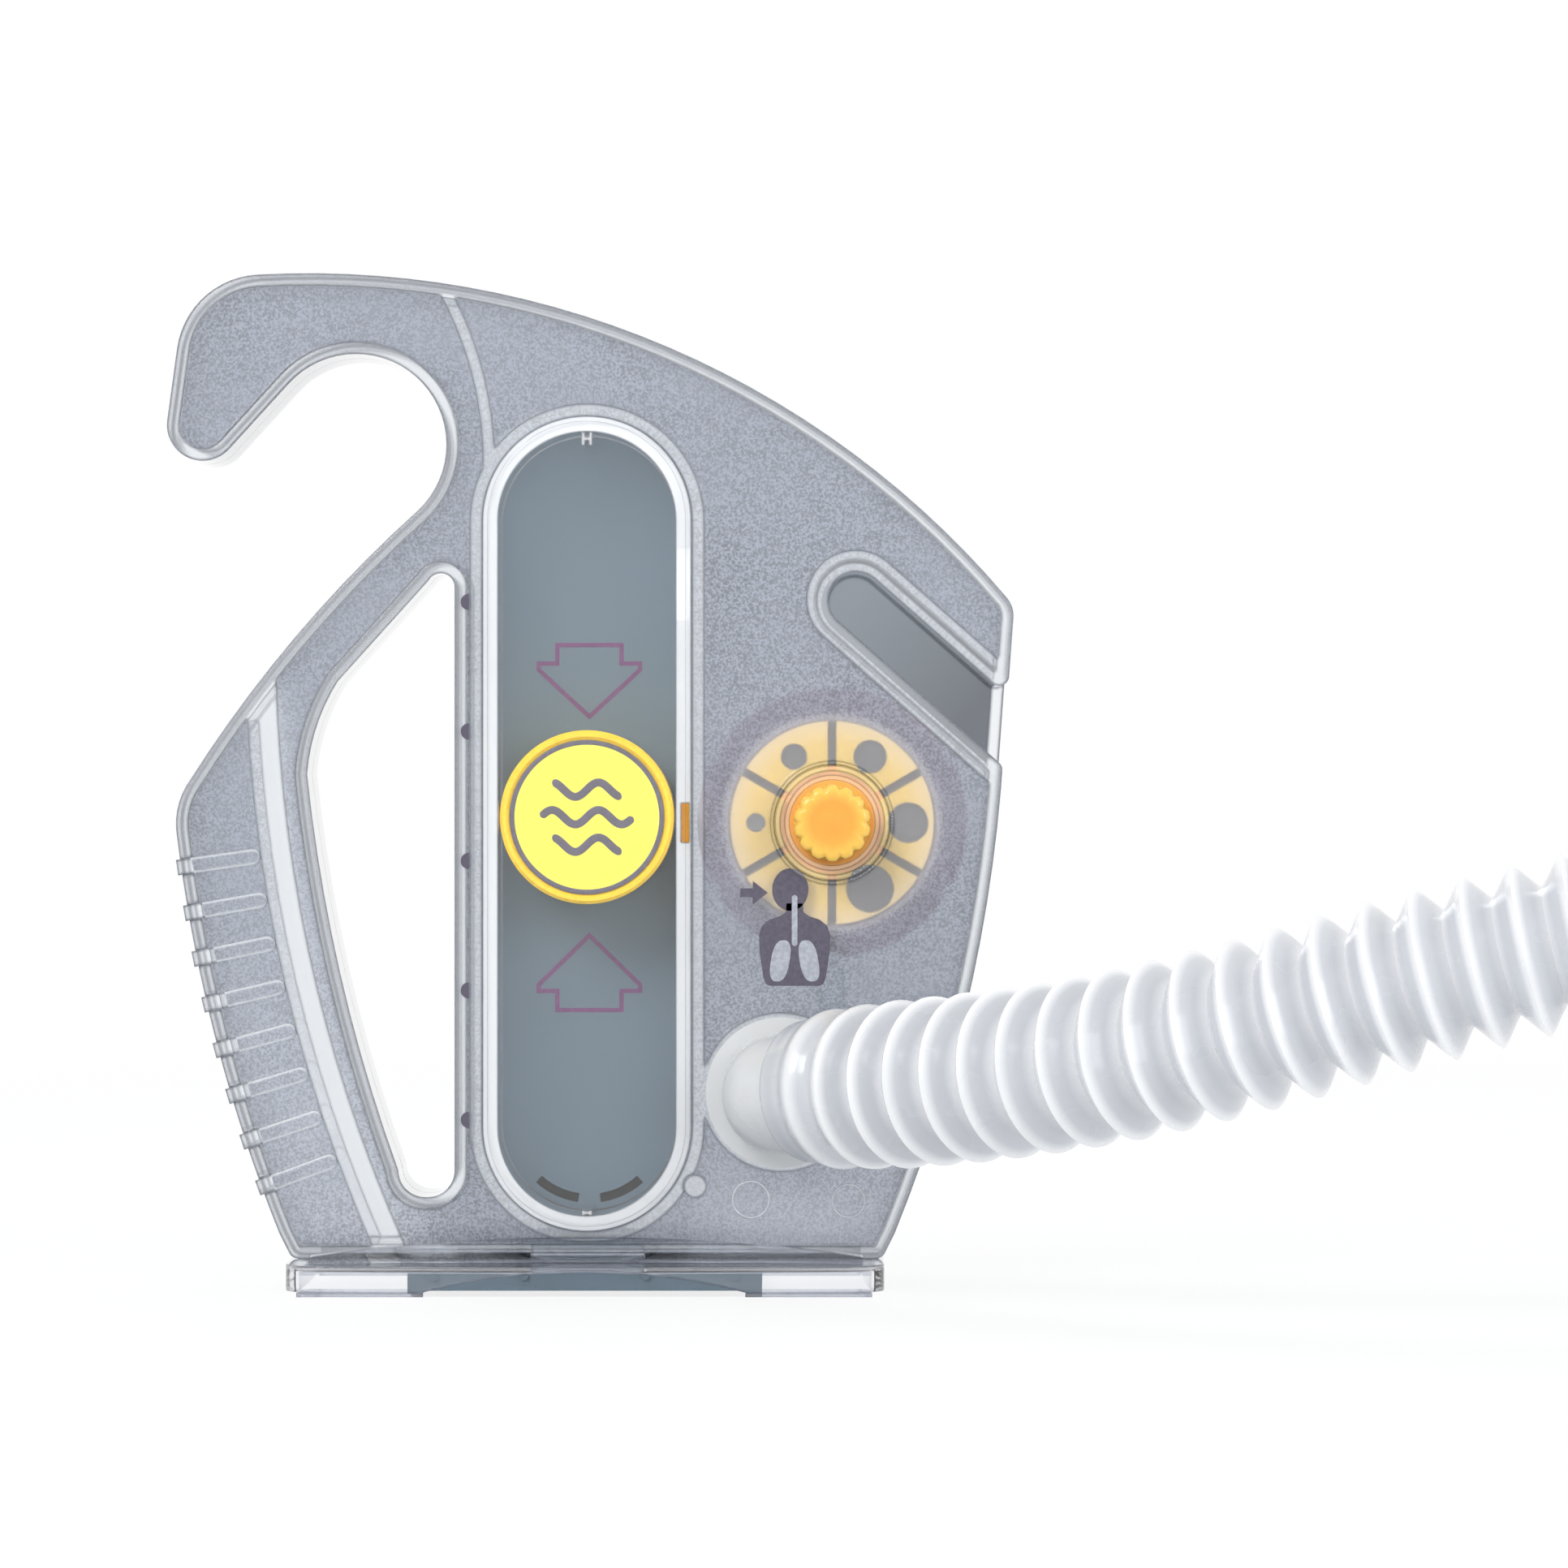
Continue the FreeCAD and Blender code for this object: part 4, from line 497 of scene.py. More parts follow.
def frosted_housing(name, polished, edge, frosted, lamps, touches=(), window=None):
    """Clear polystyrene, etched on its faces and ribs and polished on its beads and walls.

    The polished colour turns to the dark edge colour along edges and where the plastic is seen edge-on, as
    painted shade and painted dark reflections. Touches are functions that get the shader and a colour socket
    and give back another colour socket. Window gets the shader and gives back where the etched face is
    clearer.
    """
    shader = clear_shader(name, soft=0.9 * MM, lamps=lamps, upper=0.7)
    depth = shader.depth()
    across, _, up = shader.axes()
    # The ribs are etched on top, inside a line along the grip's outer side, and polished on their edges.
    inside = shader.math("ADD", shader.math("MULTIPLY", up, RIB_SLOPE), across)
    level_with_ribs = shader.near(depth, RIB_DEPTH, FLAT_SLACK)
    ribs = shader.math("MULTIPLY", level_with_ribs, shader.math("GREATER_THAN", inside, RIB_LINE))
    rib_edges = shader.math("MULTIPLY", ribs, shader.ramp(shader.level, 0.1, 0.35, 0, 1))
    rib_tops = shader.math("SUBTRACT", ribs, rib_edges)
    etched = shader.math("MAXIMUM", shader.near(depth, ETCHED_DEPTH, FLAT_SLACK), rib_tops)
    proud = shader.math("SUBTRACT", shader.math("GREATER_THAN", depth, ETCHED_DEPTH + 0.1 * MM), etched)
    cloud = shader.noise(38.0, detail=4.0)
    grain = shader.noise(2600.0, detail=2.0)
    speckle = shader.between(grain, 0.38, 0.62, shade(frosted, 1.25), shade(frosted, 0.5))
    tone = shader.mix(shader.ramp(cloud, 0.35, 0.7, 0, 0.5), speckle, shade(frosted, 1.12))
    # Painted shade: the dark edge colour along edges and at grazing angles.
    edged = shader.mix(rib_edges, shader.mix(shader.edge, polished, edge), polished)
    for touch in touches:
        tone = touch(shader, tone)
    veil = shader.ramp(etched, 0, 1, 0.0, 0.25)
    if window is not None:
        clearer = window(shader)
        tone = shader.mix(clearer, tone, (0.76, 0.75, 0.76))
        veil = shader.math("MULTIPLY", veil, shader.ramp(clearer, 0, 1, 1, 0.8))
    shader.base_colour(shader.mix(etched, edged, tone))
    shader.roughness(etched, 0, 1, 0.04, 0.75)
    solid = shader.math("ADD", shader.ramp(proud, 0, 1, 0.0, 0.18), shader.ramp(rib_edges, 0, 1, 0.0, 0.4))
    solid = shader.math("ADD", solid, veil)
    shader.link(shader.ramp(solid, 0, 1, 1, 0), shader.surface.inputs["Transmission Weight"])
    return shader.material


def dial_window(shader):
    """1 over the dial's coloured pads, fading out past them."""
    return shader.ramp(shader.radius(DIAL_X, DIAL_Z), 16.0 * MM, 17.6 * MM, 1, 0)


def painted_slot_shade(shader, tone):
    """Painted shade: darken the floor of the parking slot, more towards the right."""
    inside, along = shader.slot_shape(SLOT_X, SLOT_Z, SLOT_LEAN, SLOT_HALF)
    deep = shader.between(along, 0, 26 * MM, (0.11, 0.135, 0.165), (0.035, 0.042, 0.055))
    return shader.mix(inside, tone, deep)


def painted_inlet_shade(shader, tone):
    """Painted shade: darken the chamber behind the inlet slots at the column's foot."""
    ring = shader.near(shader.radius(0.0, FOOT_Z), 12.3 * MM, 1.7 * MM)
    low = shader.math("LESS_THAN", shader.axes()[2], 18.5 * MM)
    return shader.mix(shader.math("MULTIPLY", ring, low), tone, (0.01, 0.01, 0.013))


def bright_foot(shader, tone):
    """Brighten the housing's lower corners, where its floor throws light up behind the face."""
    across, _, up = shader.axes()
    right, left = (
        shader.math("MULTIPLY", shader.ramp(across, *side, *shares), shader.ramp(up, *height, 1, 0))
        for side, shares, height in (
            ((8 * MM, 20 * MM), (0, 1), (8 * MM, 26 * MM)),
            ((-30 * MM, -24 * MM), (1, 0), (12 * MM, 66 * MM)),
        )
    )
    corner = shader.math("MAXIMUM", right, left)
    patchy = shader.math("MULTIPLY", corner, shader.ramp(shader.noise(90.0, detail=3.0), 0.3, 0.65, 0.45, 1))
    return shader.mix(patchy, tone, (0.85, 0.86, 0.90))


def clear_plastic(name, polished, edge, soft=0.6 * MM, lamps=1.0, clear=1.0):
    """Polished clear polystyrene with faint flow lines, turning to the dark edge colour along its edges and
    where seen edge-on, as painted shade. Where clear is under 1 its walls look white.
    """
    shader = clear_shader(name, soft, lamps)
    shader.set(Transmission_Weight=clear)
    flow = shader.noise(120.0, detail=2.0, stretch=(1.0, 1.0, 0.2))
    flowing = shader.mix(flow, shade(polished, 0.98), shade(polished, 1.02))
    shader.base_colour(shader.mix(shader.edge, flowing, edge))
    shader.roughness(flow, 0.3, 0.7, 0.02, 0.06)
    return shader.material


def printed_card(plastics):
    """Blue-grey card stock with fine grain and a soft unevenness."""
    shader = Shader("printed_card")
    shader.set(Specular_IOR_Level=0.35)
    cloud = shader.noise(30.0, detail=3.0)
    grain = shader.noise(3500.0, detail=2.0)
    base = shader.between(cloud, 0.3, 0.7, plastics.card, shade(plastics.card, 1.08))
    shader.base_colour(shader.mix(shader.ramp(grain, 0.4, 0.6, 0, 0.5), base, shade(plastics.card, 0.94)))
    shader.roughness(grain, 0.3, 0.7, 0.45, 0.6)
    shader.bump(cloud, 0.02 * MM, 0.2)
    return shader.material


def coloured_plastic(name, base, rough=0.3, glow=0.0):
    """Moulded plastic of one colour with a soft cloudiness and fine moulding grain.

    Glow is the share of light that spreads under its surface.
    """
    shader = Shader(name)
    shader.set(Subsurface_Weight=glow, Subsurface_Scale=1.5 * MM)
    cloud = shader.noise(90.0, detail=3.0)
    grain = shader.noise(900.0, detail=2.0)
    shader.base_colour(shader.between(cloud, 0.3, 0.7, shade(base, 0.94), shade(base, 1.03)))
    shader.roughness(grain, 0.3, 0.7, rough - 0.05, rough + 0.08)
    shader.bump(grain, 0.02 * MM, 0.3)
    return shader.material


def milky_plastic(name, base, pass_through, rough):
    """Translucent polyethylene: part of the light goes through, with soft grey patches."""
    shader = Shader(name)
    shader.set(Transmission_Weight=pass_through, IOR=1.3, Coat_Weight=0.5, Coat_Roughness=0.1)
    cloud = shader.noise(70.0, detail=3.0)
    shader.base_colour(shader.between(cloud, 0.4, 0.7, base, shade(base, 0.93)))
    shader.roughness(cloud, 0.3, 0.7, rough, rough + 0.08)
    shader.bump(cloud, 0.03 * MM, 0.3)
    return shader.material


def dial_plastic(plastics):
    """Dial disc: an orange hub, painted dark shade between the pads, a pale band and a mauve-grey rim, by
    radius.
    """
    shader = Shader("dial_plastic")
    radius = shader.radius(DIAL_X, DIAL_Z)
    cloud = shader.noise(120.0, detail=3.0)
    grain = shader.noise(900.0, detail=2.0)
    base = plastics.dial_grey
    tone = shader.between(cloud, 0.3, 0.7, base, shade(base, 1.25))
    tone = shader.mix(shader.ramp(radius, 17.4 * MM, 18.4 * MM, 1, 0), tone, plastics.dial_band)
    # Painted shade: the disc between the pads takes the near-black shade colour.
    tone = shader.mix(shader.ramp(radius, 15.9 * MM, 16.9 * MM, 1, 0), tone, plastics.gauze)
    tone = shader.mix(shader.ramp(radius, 9.0 * MM, 9.3 * MM, 1, 0), tone, plastics.dial_hub)
    shader.base_colour(tone)
    shader.roughness(grain, 0.3, 0.7, 0.35, 0.48)
    shader.bump(grain, 0.02 * MM, 0.3)
    return shader.material


def pad_plastic(plastics):
    """Sector pads, yellow near the hub and paler towards their outer edge."""
    shader = Shader("pad_plastic")
    radius = shader.radius(DIAL_X, DIAL_Z)
    cloud = shader.noise(150.0, detail=3.0)
    pads = plastics.dial_pads
    tone = shader.between(cloud, 0.35, 0.65, pads, shade(pads, 0.93))
    pale = shader.ramp(radius, 12.5 * MM, 16.5 * MM, 0, 0.75)
    shader.base_colour(shader.mix(pale, tone, (1.0, 0.80, 0.50)))
    shader.roughness(cloud, 0.3, 0.7, 0.35, 0.45)
    return shader.material


def knob_plastic(plastics):
    """Translucent orange plastic, painted yellower towards its rim as painted light."""
    shader = Shader("knob_plastic")
    shader.set(Subsurface_Weight=0.3, Subsurface_Scale=1.5 * MM, Coat_Weight=0.4, Coat_Roughness=0.05)
    rim = shader.add("ShaderNodeAttribute", attribute_name="rim").outputs["Fac"]
    cloud = shader.noise(220.0, detail=2.0)
    deep = shader.mix(cloud, shade(plastics.knob, 0.92), plastics.knob)
    painted_rim_light = shader.mix(cloud, plastics.knob_rim, shade(plastics.knob_rim, 1.03))
    # Painted light: the rim takes the lighter yellow.
    tone = shader.between(rim, 0.55, 1.0, deep, painted_rim_light)
    shader.base_colour(tone)
    shader.roughness(cloud, 0.3, 0.7, 0.18, 0.26)
    return shader.material


def hose_plastic(plastics):
    """Milky polyethylene, white on the crests and in the roots and greyer on the flanks between, as painted
    light and shade across the corrugations.
    """
    shader = Shader("hose_plastic")
    shader.set(Coat_Weight=0.6, Coat_Roughness=0.1)
    crest = shader.add("ShaderNodeAttribute", attribute_name="crest").outputs["Fac"]
    cloud = shader.noise(70.0, detail=3.0)
    white = shader.between(cloud, 0.4, 0.7, plastics.hose, shade(plastics.hose, 0.94))
    between = shader.mix(cloud, plastics.hose_shade, shade(plastics.hose_shade, 1.2))
    # Painted shade on the flanks between crests, painted light on the crests.
    flank = shader.math("MINIMUM", shader.ramp(crest, 0.0, 0.3, 0.3, 1), shader.ramp(crest, 0.68, 0.92, 1, 0))
    shader.base_colour(shader.mix(flank, white, between))
    shader.roughness(cloud, 0.3, 0.7, 0.22, 0.32)
    shader.bump(cloud, 0.02 * MM, 0.2)
    return shader.material


def ink(name, base):
    """Printed ink with slightly uneven cover."""
    shader = Shader(name)
    cover = shader.noise(1500.0, detail=2.0)
    shader.base_colour(shader.between(cover, 0.35, 0.65, shade(base, 0.9), shade(base, 1.2)))
    shader.roughness(cover, 0.3, 0.7, 0.4, 0.55)
    return shader.material


def paint(node, material):
    """Give a CAD node its material."""
    if not node.material_slots:
        node.data.materials.append(material)
    for slot in node.material_slots:
        slot.material = material


# Pieces

class PlasticsOperator(Operator):
    """Give every CAD piece its plastic, card or rubber"""

    bl_idname = "spirometer.plastics"
    bl_label = "Plastics"

    def execute(self, context):
        plastics = context.scene.spirometer_plastics
        edge = plastics.edge
        polished = plastics.polished
        bead = shade(polished, 0.94)
        front = frosted_housing("front_plastic", bead, edge, plastics.frosted, 1.0, window=dial_window)
        rear = frosted_housing(
            "rear_plastic", bead, edge, plastics.rear, 0.9,
            (bright_foot, painted_slot_shade, painted_inlet_shade),
        )
        clear = clear_plastic("clear_plastic", polished, edge, lamps=0.9)
        sheet = clear_plastic("sheet_plastic", (0.99, 0.99, 0.99), edge, soft=0.4 * MM)
        bright = clear_plastic("bright_plastic", polished, shade(edge, 1.5), soft=0.5 * MM, clear=0.5)
        collar = clear_plastic("collar_plastic", polished, shade(edge, 1.5), soft=0.4 * MM, clear=0.9)
        base = clear_plastic("base_plastic", (0.90, 0.91, 0.93), shade(edge, 3.0), lamps=1.0)
        # Painted shade: the base insert is a darker card blue-grey that stands in for the shade inside the
        # base.
        base_shade = coloured_plastic("base_shade_plastic", shade(plastics.card, 0.85), rough=0.35)
        finishes = {
            "back_shell": rear,
            "front_shell": front,
            "float_column": bright,
            "column_window": sheet,
            "upper_float_stop": bright,
            "lower_float_stop": bright,
            "dial_collar": collar,
            "base_skirt": base,
            "foot_pads": base,
            "bypass_tube": clear,
            "dial_axle": clear,
            "detent_arm": clear,
            "hose_spigot": milky_plastic("port_plastic", plastics.mouthpiece, 0.15, 0.2),
            "seam_snaps": coloured_plastic("snap_plastic", plastics.print_dark, rough=0.3),
            "label_card": printed_card(plastics),
            "base_insert": base_shade,
            "float_cup": coloured_plastic("float_rim_plastic", plastics.float_rim, rough=0.28, glow=0.15),
            "float_face": coloured_plastic("float_face_plastic", plastics.float_face, rough=0.35, glow=0.1),
            "dial_disc": dial_plastic(plastics),
            "dial_sectors": pad_plastic(plastics),
            "dial_knob": coloured_plastic("knob_core_plastic", plastics.knob, rough=0.25),
            "dial_pointer": coloured_plastic("pointer_plastic", plastics.knob_rim, rough=0.3),
            "dial_seal": coloured_plastic("seal_rubber", shade(plastics.print_dark, 1.2), rough=0.7),
            "spigot_gasket": coloured_plastic("gasket_rubber", plastics.hose, rough=0.6),
            "mouthpiece": coloured_plastic("mouthpiece_plastic", plastics.mouthpiece, rough=0.3, glow=0.1),
        }
        for name, material in finishes.items():
            paint(nodes[name], material)
        return {"FINISHED"}


def hose_line():
    """The hose's centreline: a NURBS spline of order 3 with the route's points as control points."""
    curve = bpy.data.curves.new("hose_line", "CURVE")
    curve.dimensions = "3D"
    spline = curve.splines.new("NURBS")
    spline.points.add(len(HOSE_ROUTE) - 1)
    spline.points.foreach_set("co", np.c_[np.array(HOSE_ROUTE), np.ones(len(HOSE_ROUTE))].ravel())
    spline.order_u = 3
    spline.use_endpoint_u = True
    spline.resolution_u = 64
    carrier = bpy.data.objects.new("hose_line", curve)
    bpy.context.scene.collection.objects.link(carrier)
    mesh = bpy.data.meshes.new_from_object(carrier)
    line = np.zeros(len(mesh.vertices) * 3)
    mesh.vertices.foreach_get("co", line)
    bpy.data.objects.remove(carrier)
    bpy.data.curves.remove(curve)
    bpy.data.meshes.remove(mesh)
    return line.reshape(-1, 3)


def spaced(line, count):
    """Points at even steps along a line, and how far along each one is."""
    step = np.linalg.norm(np.diff(line, axis=0), axis=1)
    run = np.concatenate([[0], np.cumsum(step)])
    places = np.linspace(0, run[-1], count)
    return np.stack([np.interp(places, run, line[:, n]) for n in range(3)], -1), places


class HoseOperator(Operator):
    """Make the corrugated hose along its route"""

    bl_idname = "spirometer.hose"
    bl_label = "Hose"

    def execute(self, context):
        sizes = context.scene.spirometer_hose
        line = hose_line()
        total = np.linalg.norm(np.diff(line, axis=0), axis=1).sum()
        waves = round(total / sizes.pitch)
        path, run = spaced(line, waves * 14 + 1)
        along = np.gradient(path, axis=0)
        along /= np.linalg.norm(along, axis=1)[:, None]
        side = np.cross(along, [0.0, 0.0, 1.0])
        side /= np.linalg.norm(side, axis=1)[:, None]
        up = np.cross(side, along)
        # A crest is a rounded peak: part straight-sided wave, part cosine, and mostly cosine near the port.
        phase = (run / total * waves) % 1.0
        soft = np.clip(0.85 - run / sizes.soft_reach, sizes.softness, 1)
        peak = (1 - soft) * (1 - np.abs(2 * phase - 1)) + soft * (1 - np.cos(2 * np.pi * phase)) / 2
        outer = sizes.root + (sizes.crest - sizes.root) * peak
        angle = np.linspace(0, 2 * np.pi, 56, endpoint=False)
        skin = [
            swept(path, side, up, radius[:, None] * np.cos(angle), radius[:, None] * np.sin(angle))
            for radius in (outer, outer - sizes.wall)
        ]
        points = np.concatenate([skin[0], skin[1][::-1]])
        mesh = make_mesh("hose_skin", points, close_rows=True)
        crest = np.repeat(np.concatenate([peak, peak[::-1]]), len(angle))
        mark_points(mesh, "crest", crest)
        material = hose_plastic(context.scene.spirometer_plastics)
        hose = add_piece("corrugated_hose", mesh, material, "housing", ["hose"])
        cuffs = [self.cuff(context, material, *end) for end in self.ends(path)]
        return {"FINISHED"}

    def ends(self, path):
        """For each cuff: name, origin, direction, outside as (radius, distance) keys, and CAD node."""
        sizes = bpy.context.scene.spirometer_hose
        smooth = sizes.cuff_radius
        lobes = [(sizes.root, 0), (13.0 * MM, 3.6 * MM), (11.2 * MM, 7.0 * MM), (12.7 * MM, 10.4 * MM)]
        lobes += [(11.7 * MM, 13.6 * MM), (smooth, 17.1 * MM)]
        plain = [(sizes.root, 0), (smooth, 2.6 * MM), (smooth, 17.1 * MM)]
        return (
            ("port_cuff", path[0], path[0] - path[1], lobes, "hose_cuff"),
            ("mouthpiece_end_cuff", path[-1], path[-1] - path[-2], plain, "mouthpiece_cuff"),
        )

    def cuff(self, context, material, name, origin, direction, keys, node):
        """A sleeve: it swells from the hose's last root, follows its keys and ends in a rolled lip.

        Between two keys the radius goes as r + (s - r) * (1 - cos(pi * t)) / 2.
        """
        sizes = context.scene.spirometer_hose
        keys = np.array(keys)
        place = np.arange(0, len(keys) - 1 + 1e-9, 0.125)
        before = np.minimum(place.astype(int), len(keys) - 2)
        share = place - before
        ease = (1 - np.cos(np.pi * share)) / 2
        radius = keys[before, 0] + (keys[before + 1, 0] - keys[before, 0]) * ease
        distance = keys[before, 1] + (keys[before + 1, 1] - keys[before, 1]) * share
        turn = np.linspace(0, np.pi, 9)[1:]
        lip = (sizes.cuff_radius - sizes.cuff_bore) / 2
        middle = (sizes.cuff_radius + sizes.cuff_bore) / 2
        rolled = np.stack([middle + lip * np.cos(turn), keys[-1, 1] + lip * np.sin(turn)], -1)
        neck = sizes.root - sizes.wall
        inside = np.array([[sizes.cuff_bore, 3.4 * MM], [neck, 1.2 * MM], [neck, 0]])
        section = np.concatenate([np.stack([radius, distance], -1), rolled, inside])
        points = turned(section, origin, direction)
        mesh = make_mesh(name, points, close_rows=True)
        crest = np.clip((section[:, 0] - sizes.root) / (sizes.crest - sizes.root), 0, 1)
        mark_points(mesh, "crest", np.repeat(crest, points.shape[1]))
        return add_piece(name, mesh, material, "housing", [node])


class KnobOperator(Operator):
    """Make the fluted, domed knob of the dial"""

    bl_idname = "spirometer.knob"
    bl_label = "Knob"

    def execute(self, context):
        sizes = context.scene.spirometer_details
        low, high = (np.array(corner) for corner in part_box("dial_knob"))
        centre = (low + high) / 2
        radius = (high[0] - low[0]) / 2
        height = high[1] - low[1]
        # Side, then a round edge, then a shallow bowl with a raised button.
        turn = np.linspace(0, np.pi / 2, 8)
        edge = 1.3 * MM
        side = np.array([[radius, 0], [radius, 0.2 * height], [radius, height - 2 * edge]])
        round_edge = np.stack([radius - edge + edge * np.cos(turn), height - edge + edge * np.sin(turn)], -1)
        bowl = np.linspace(1, 0.04, 14)
        dip = 0.35 * MM * np.sin(np.pi * bowl) ** 2
        crown = np.stack([(radius - edge) * bowl, height - dip], -1)[1:]
        section = np.concatenate([side, round_edge, crown])
        fade = np.clip(section[:, 0] / radius * 2.4 - 1.2, 0, 1)[:, None]
        fade[0] = 0

        def grooves(angle):
            """Narrow grooves: the cosine of the flutes' angle, cubed."""
            wave = ((1 + np.cos(angle * sizes.flutes)) / 2) ** 3
            return 1 - sizes.flute_depth / radius * fade * wave

        origin = (centre[0], high[1], centre[2])
        points = turned(section, origin, (0, -1, 0), columns=sizes.flutes * 14, grooves=grooves)
        poles = [origin, (centre[0], low[1], centre[2])]
        mesh = make_mesh("fluted_knob", points, poles=poles)
        around = np.append(np.repeat(section[:, 0] / radius, points.shape[1]), [0, 0])
        mark_points(mesh, "rim", around)
        plastic = knob_plastic(context.scene.spirometer_plastics)
        add_piece("fluted_knob", mesh, plastic, "dial", ["dial_knob"])
        return {"FINISHED"}


class PortShadeOperator(Operator):
    """Set a dark woven screen in each flow port of the dial and a dark strip in each inlet at the column's
    foot, as painted shade
    """

    bl_idname = "spirometer.port_gauze"
    bl_label = "Port gauze"

    def execute(self, context):
        sizes = context.scene.spirometer_details
        low, high = (np.array(corner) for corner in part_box("dial_sectors"))
        axis = (low + high) / 2
        level = high[1] + 0.7 * MM
        bars = []
        smallest, growth, ring = 3.1 * MM, 1.15 * MM, 12.2 * MM
        for number in range(5):
            radius = (smallest + growth * number) / 2
            turn = np.radians(180 - 60 * number)
            centre = axis[[0, 2]] + ring * np.array([np.cos(turn), np.sin(turn)])
            steps = np.arange(sizes.shade_screen_pitch / 2, radius, sizes.shade_screen_pitch)
            offset = np.concatenate([-steps[::-1], steps])
            reach = np.sqrt(radius ** 2 - offset ** 2)
            for across in (0, 1):
                place = np.tile(centre, (len(offset), 1))
                place[:, 1 - across] += offset
                half = np.full((len(offset), 2), sizes.shade_screen_wire / 2)
                half[:, across] = reach
                y = np.full((len(offset), 1), level + across * 0.2 * MM)
                bars.append(np.concatenate([place, half, y], 1))
        mesh = self.wires(np.concatenate(bars), sizes.shade_screen_wire / 2)
        gauze = context.scene.spirometer_plastics.gauze
        dark = coloured_plastic("port_shade_fibre", gauze, rough=0.6)
        add_piece("port_gauze", mesh, dark, "dial")
        # Painted shadow: near-black strips in the inlets at the column's foot.
        shadow = coloured_plastic("inlet_shadow_paint", shade(gauze, 0.15), rough=0.8)
        for side, name in ((-1, "inlet_shadow_left"), (1, "inlet_shadow_right")):
            turn = np.radians(-90 + side * np.linspace(8.6, 41.4, 40))
            points = np.zeros((len(turn), 4, 3))
            for column, (reach, y) in enumerate(((11.6, 2.05), (13.0, 2.05), (13.0, 2.25), (11.6, 2.25))):
                points[:, column, 0] = reach * MM * np.cos(turn)
                points[:, column, 1] = y * MM
                points[:, column, 2] = FOOT_Z + reach * MM * np.sin(turn)
            mesh = make_mesh(name, points, poles=[points[0].mean(0), points[-1].mean(0)])
            add_piece(name, mesh, shadow, "housing")
        return {"FINISHED"}

    def wires(self, bars, half_depth):
        """Boxes from rows of (x, z, half x, half z, y): corner = centre + sign * half size on each axis."""
        signs = np.array([(x, y, z) for y in (-1, 1) for x, z in ((-1, -1), (1, -1), (1, 1), (-1, 1))])
        half = np.stack([bars[:, 2], np.full(len(bars), half_depth), bars[:, 3]], -1)
        points = bars[:, None, [0, 4, 1]] + signs[None] * half[:, None, :]
        box = np.array([(0, 1, 2, 3), (7, 6, 5, 4), (4, 5, 1, 0), (5, 6, 2, 1), (6, 7, 3, 2), (7, 4, 0, 3)])
        faces = (np.arange(len(bars))[:, None, None] * 8 + box[None]).reshape(-1, 4)
        flat = points.reshape(-1, 3)
        if signed_volume(flat - flat.mean(0), faces, np.zeros((0, 3), int)) < 0:
            faces = faces[:, ::-1]
        mesh = bpy.data.meshes.new("port_gauze")
        mesh.from_pydata(flat, [], list(map(tuple, faces)))
        mesh.validate()
        return mesh


class LabelPrintOperator(Operator):
    """Print the two outline arrows on the label card"""

    bl_idname = "spirometer.label_print"
    bl_label = "Label print"

    def execute(self, context):
        sizes = context.scene.spirometer_details
        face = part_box("label_card")[0][1]
        mauve = ink("arrow_ink", context.scene.spirometer_plastics.print_mauve)
        for name, tail, shoulder, wing, tip in (
            ("down_arrow", 103.4, 100.4, 99.4, 91.8),
            ("up_arrow", 44.3, 47.4, 48.4, 56.4),
        ):
            corners = np.array([
                (-5.2, tail), (5.2, tail), (5.2, shoulder), (8.2, shoulder), (8.2, wing),
                (0, tip), (-8.2, wing), (-8.2, shoulder), (-5.2, shoulder),
            ]) * MM
            mesh = outline_mesh(name, corners, sizes.line, face - sizes.ink, face)
            add_piece(name, mesh, mauve, "housing")
        return {"FINISHED"}


class FloatMarksOperator(Operator):
    """Print a ring and three wavy bars on the float's face"""

    bl_idname = "spirometer.float_marks"
    bl_label = "Float marks"

    def execute(self, context):
        sizes = context.scene.spirometer_details
        low, high = (np.array(corner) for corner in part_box("float_face"))
        centre = (low + high) / 2
        front = low[1] - 0.02 * MM
        dark = ink("float_ink", context.scene.spirometer_plastics.print_dark)
        turn = np.linspace(0, 2 * np.pi, 12, endpoint=False)
        section = np.stack([11.95 * MM + 0.38 * MM * np.cos(turn), 0.06 * MM * np.sin(turn)], -1)
        ring = turned(section, (centre[0], front, centre[2]), (0, -1, 0), columns=144)
        add_piece("float_ring", make_mesh("float_ring", ring, close_rows=True), dark, "float")
        for number, (offset, reach) in enumerate(((4.4, 5.6), (0.0, 7.4), (-4.4, 5.6)), start=1):
            x = np.linspace(-reach, reach, 90) * MM
            z = centre[2] + offset * MM + 1.15 * MM * np.sin(x / (7.4 * MM) * 2 * np.pi)
            mesh = ribbon_mesh(f"air_bar_{number}", centre[0] + x, z, sizes.mark, front, 0.06 * MM)
            add_piece(f"air_bar_{number}", mesh, dark, "float")
        return {"FINISHED"}


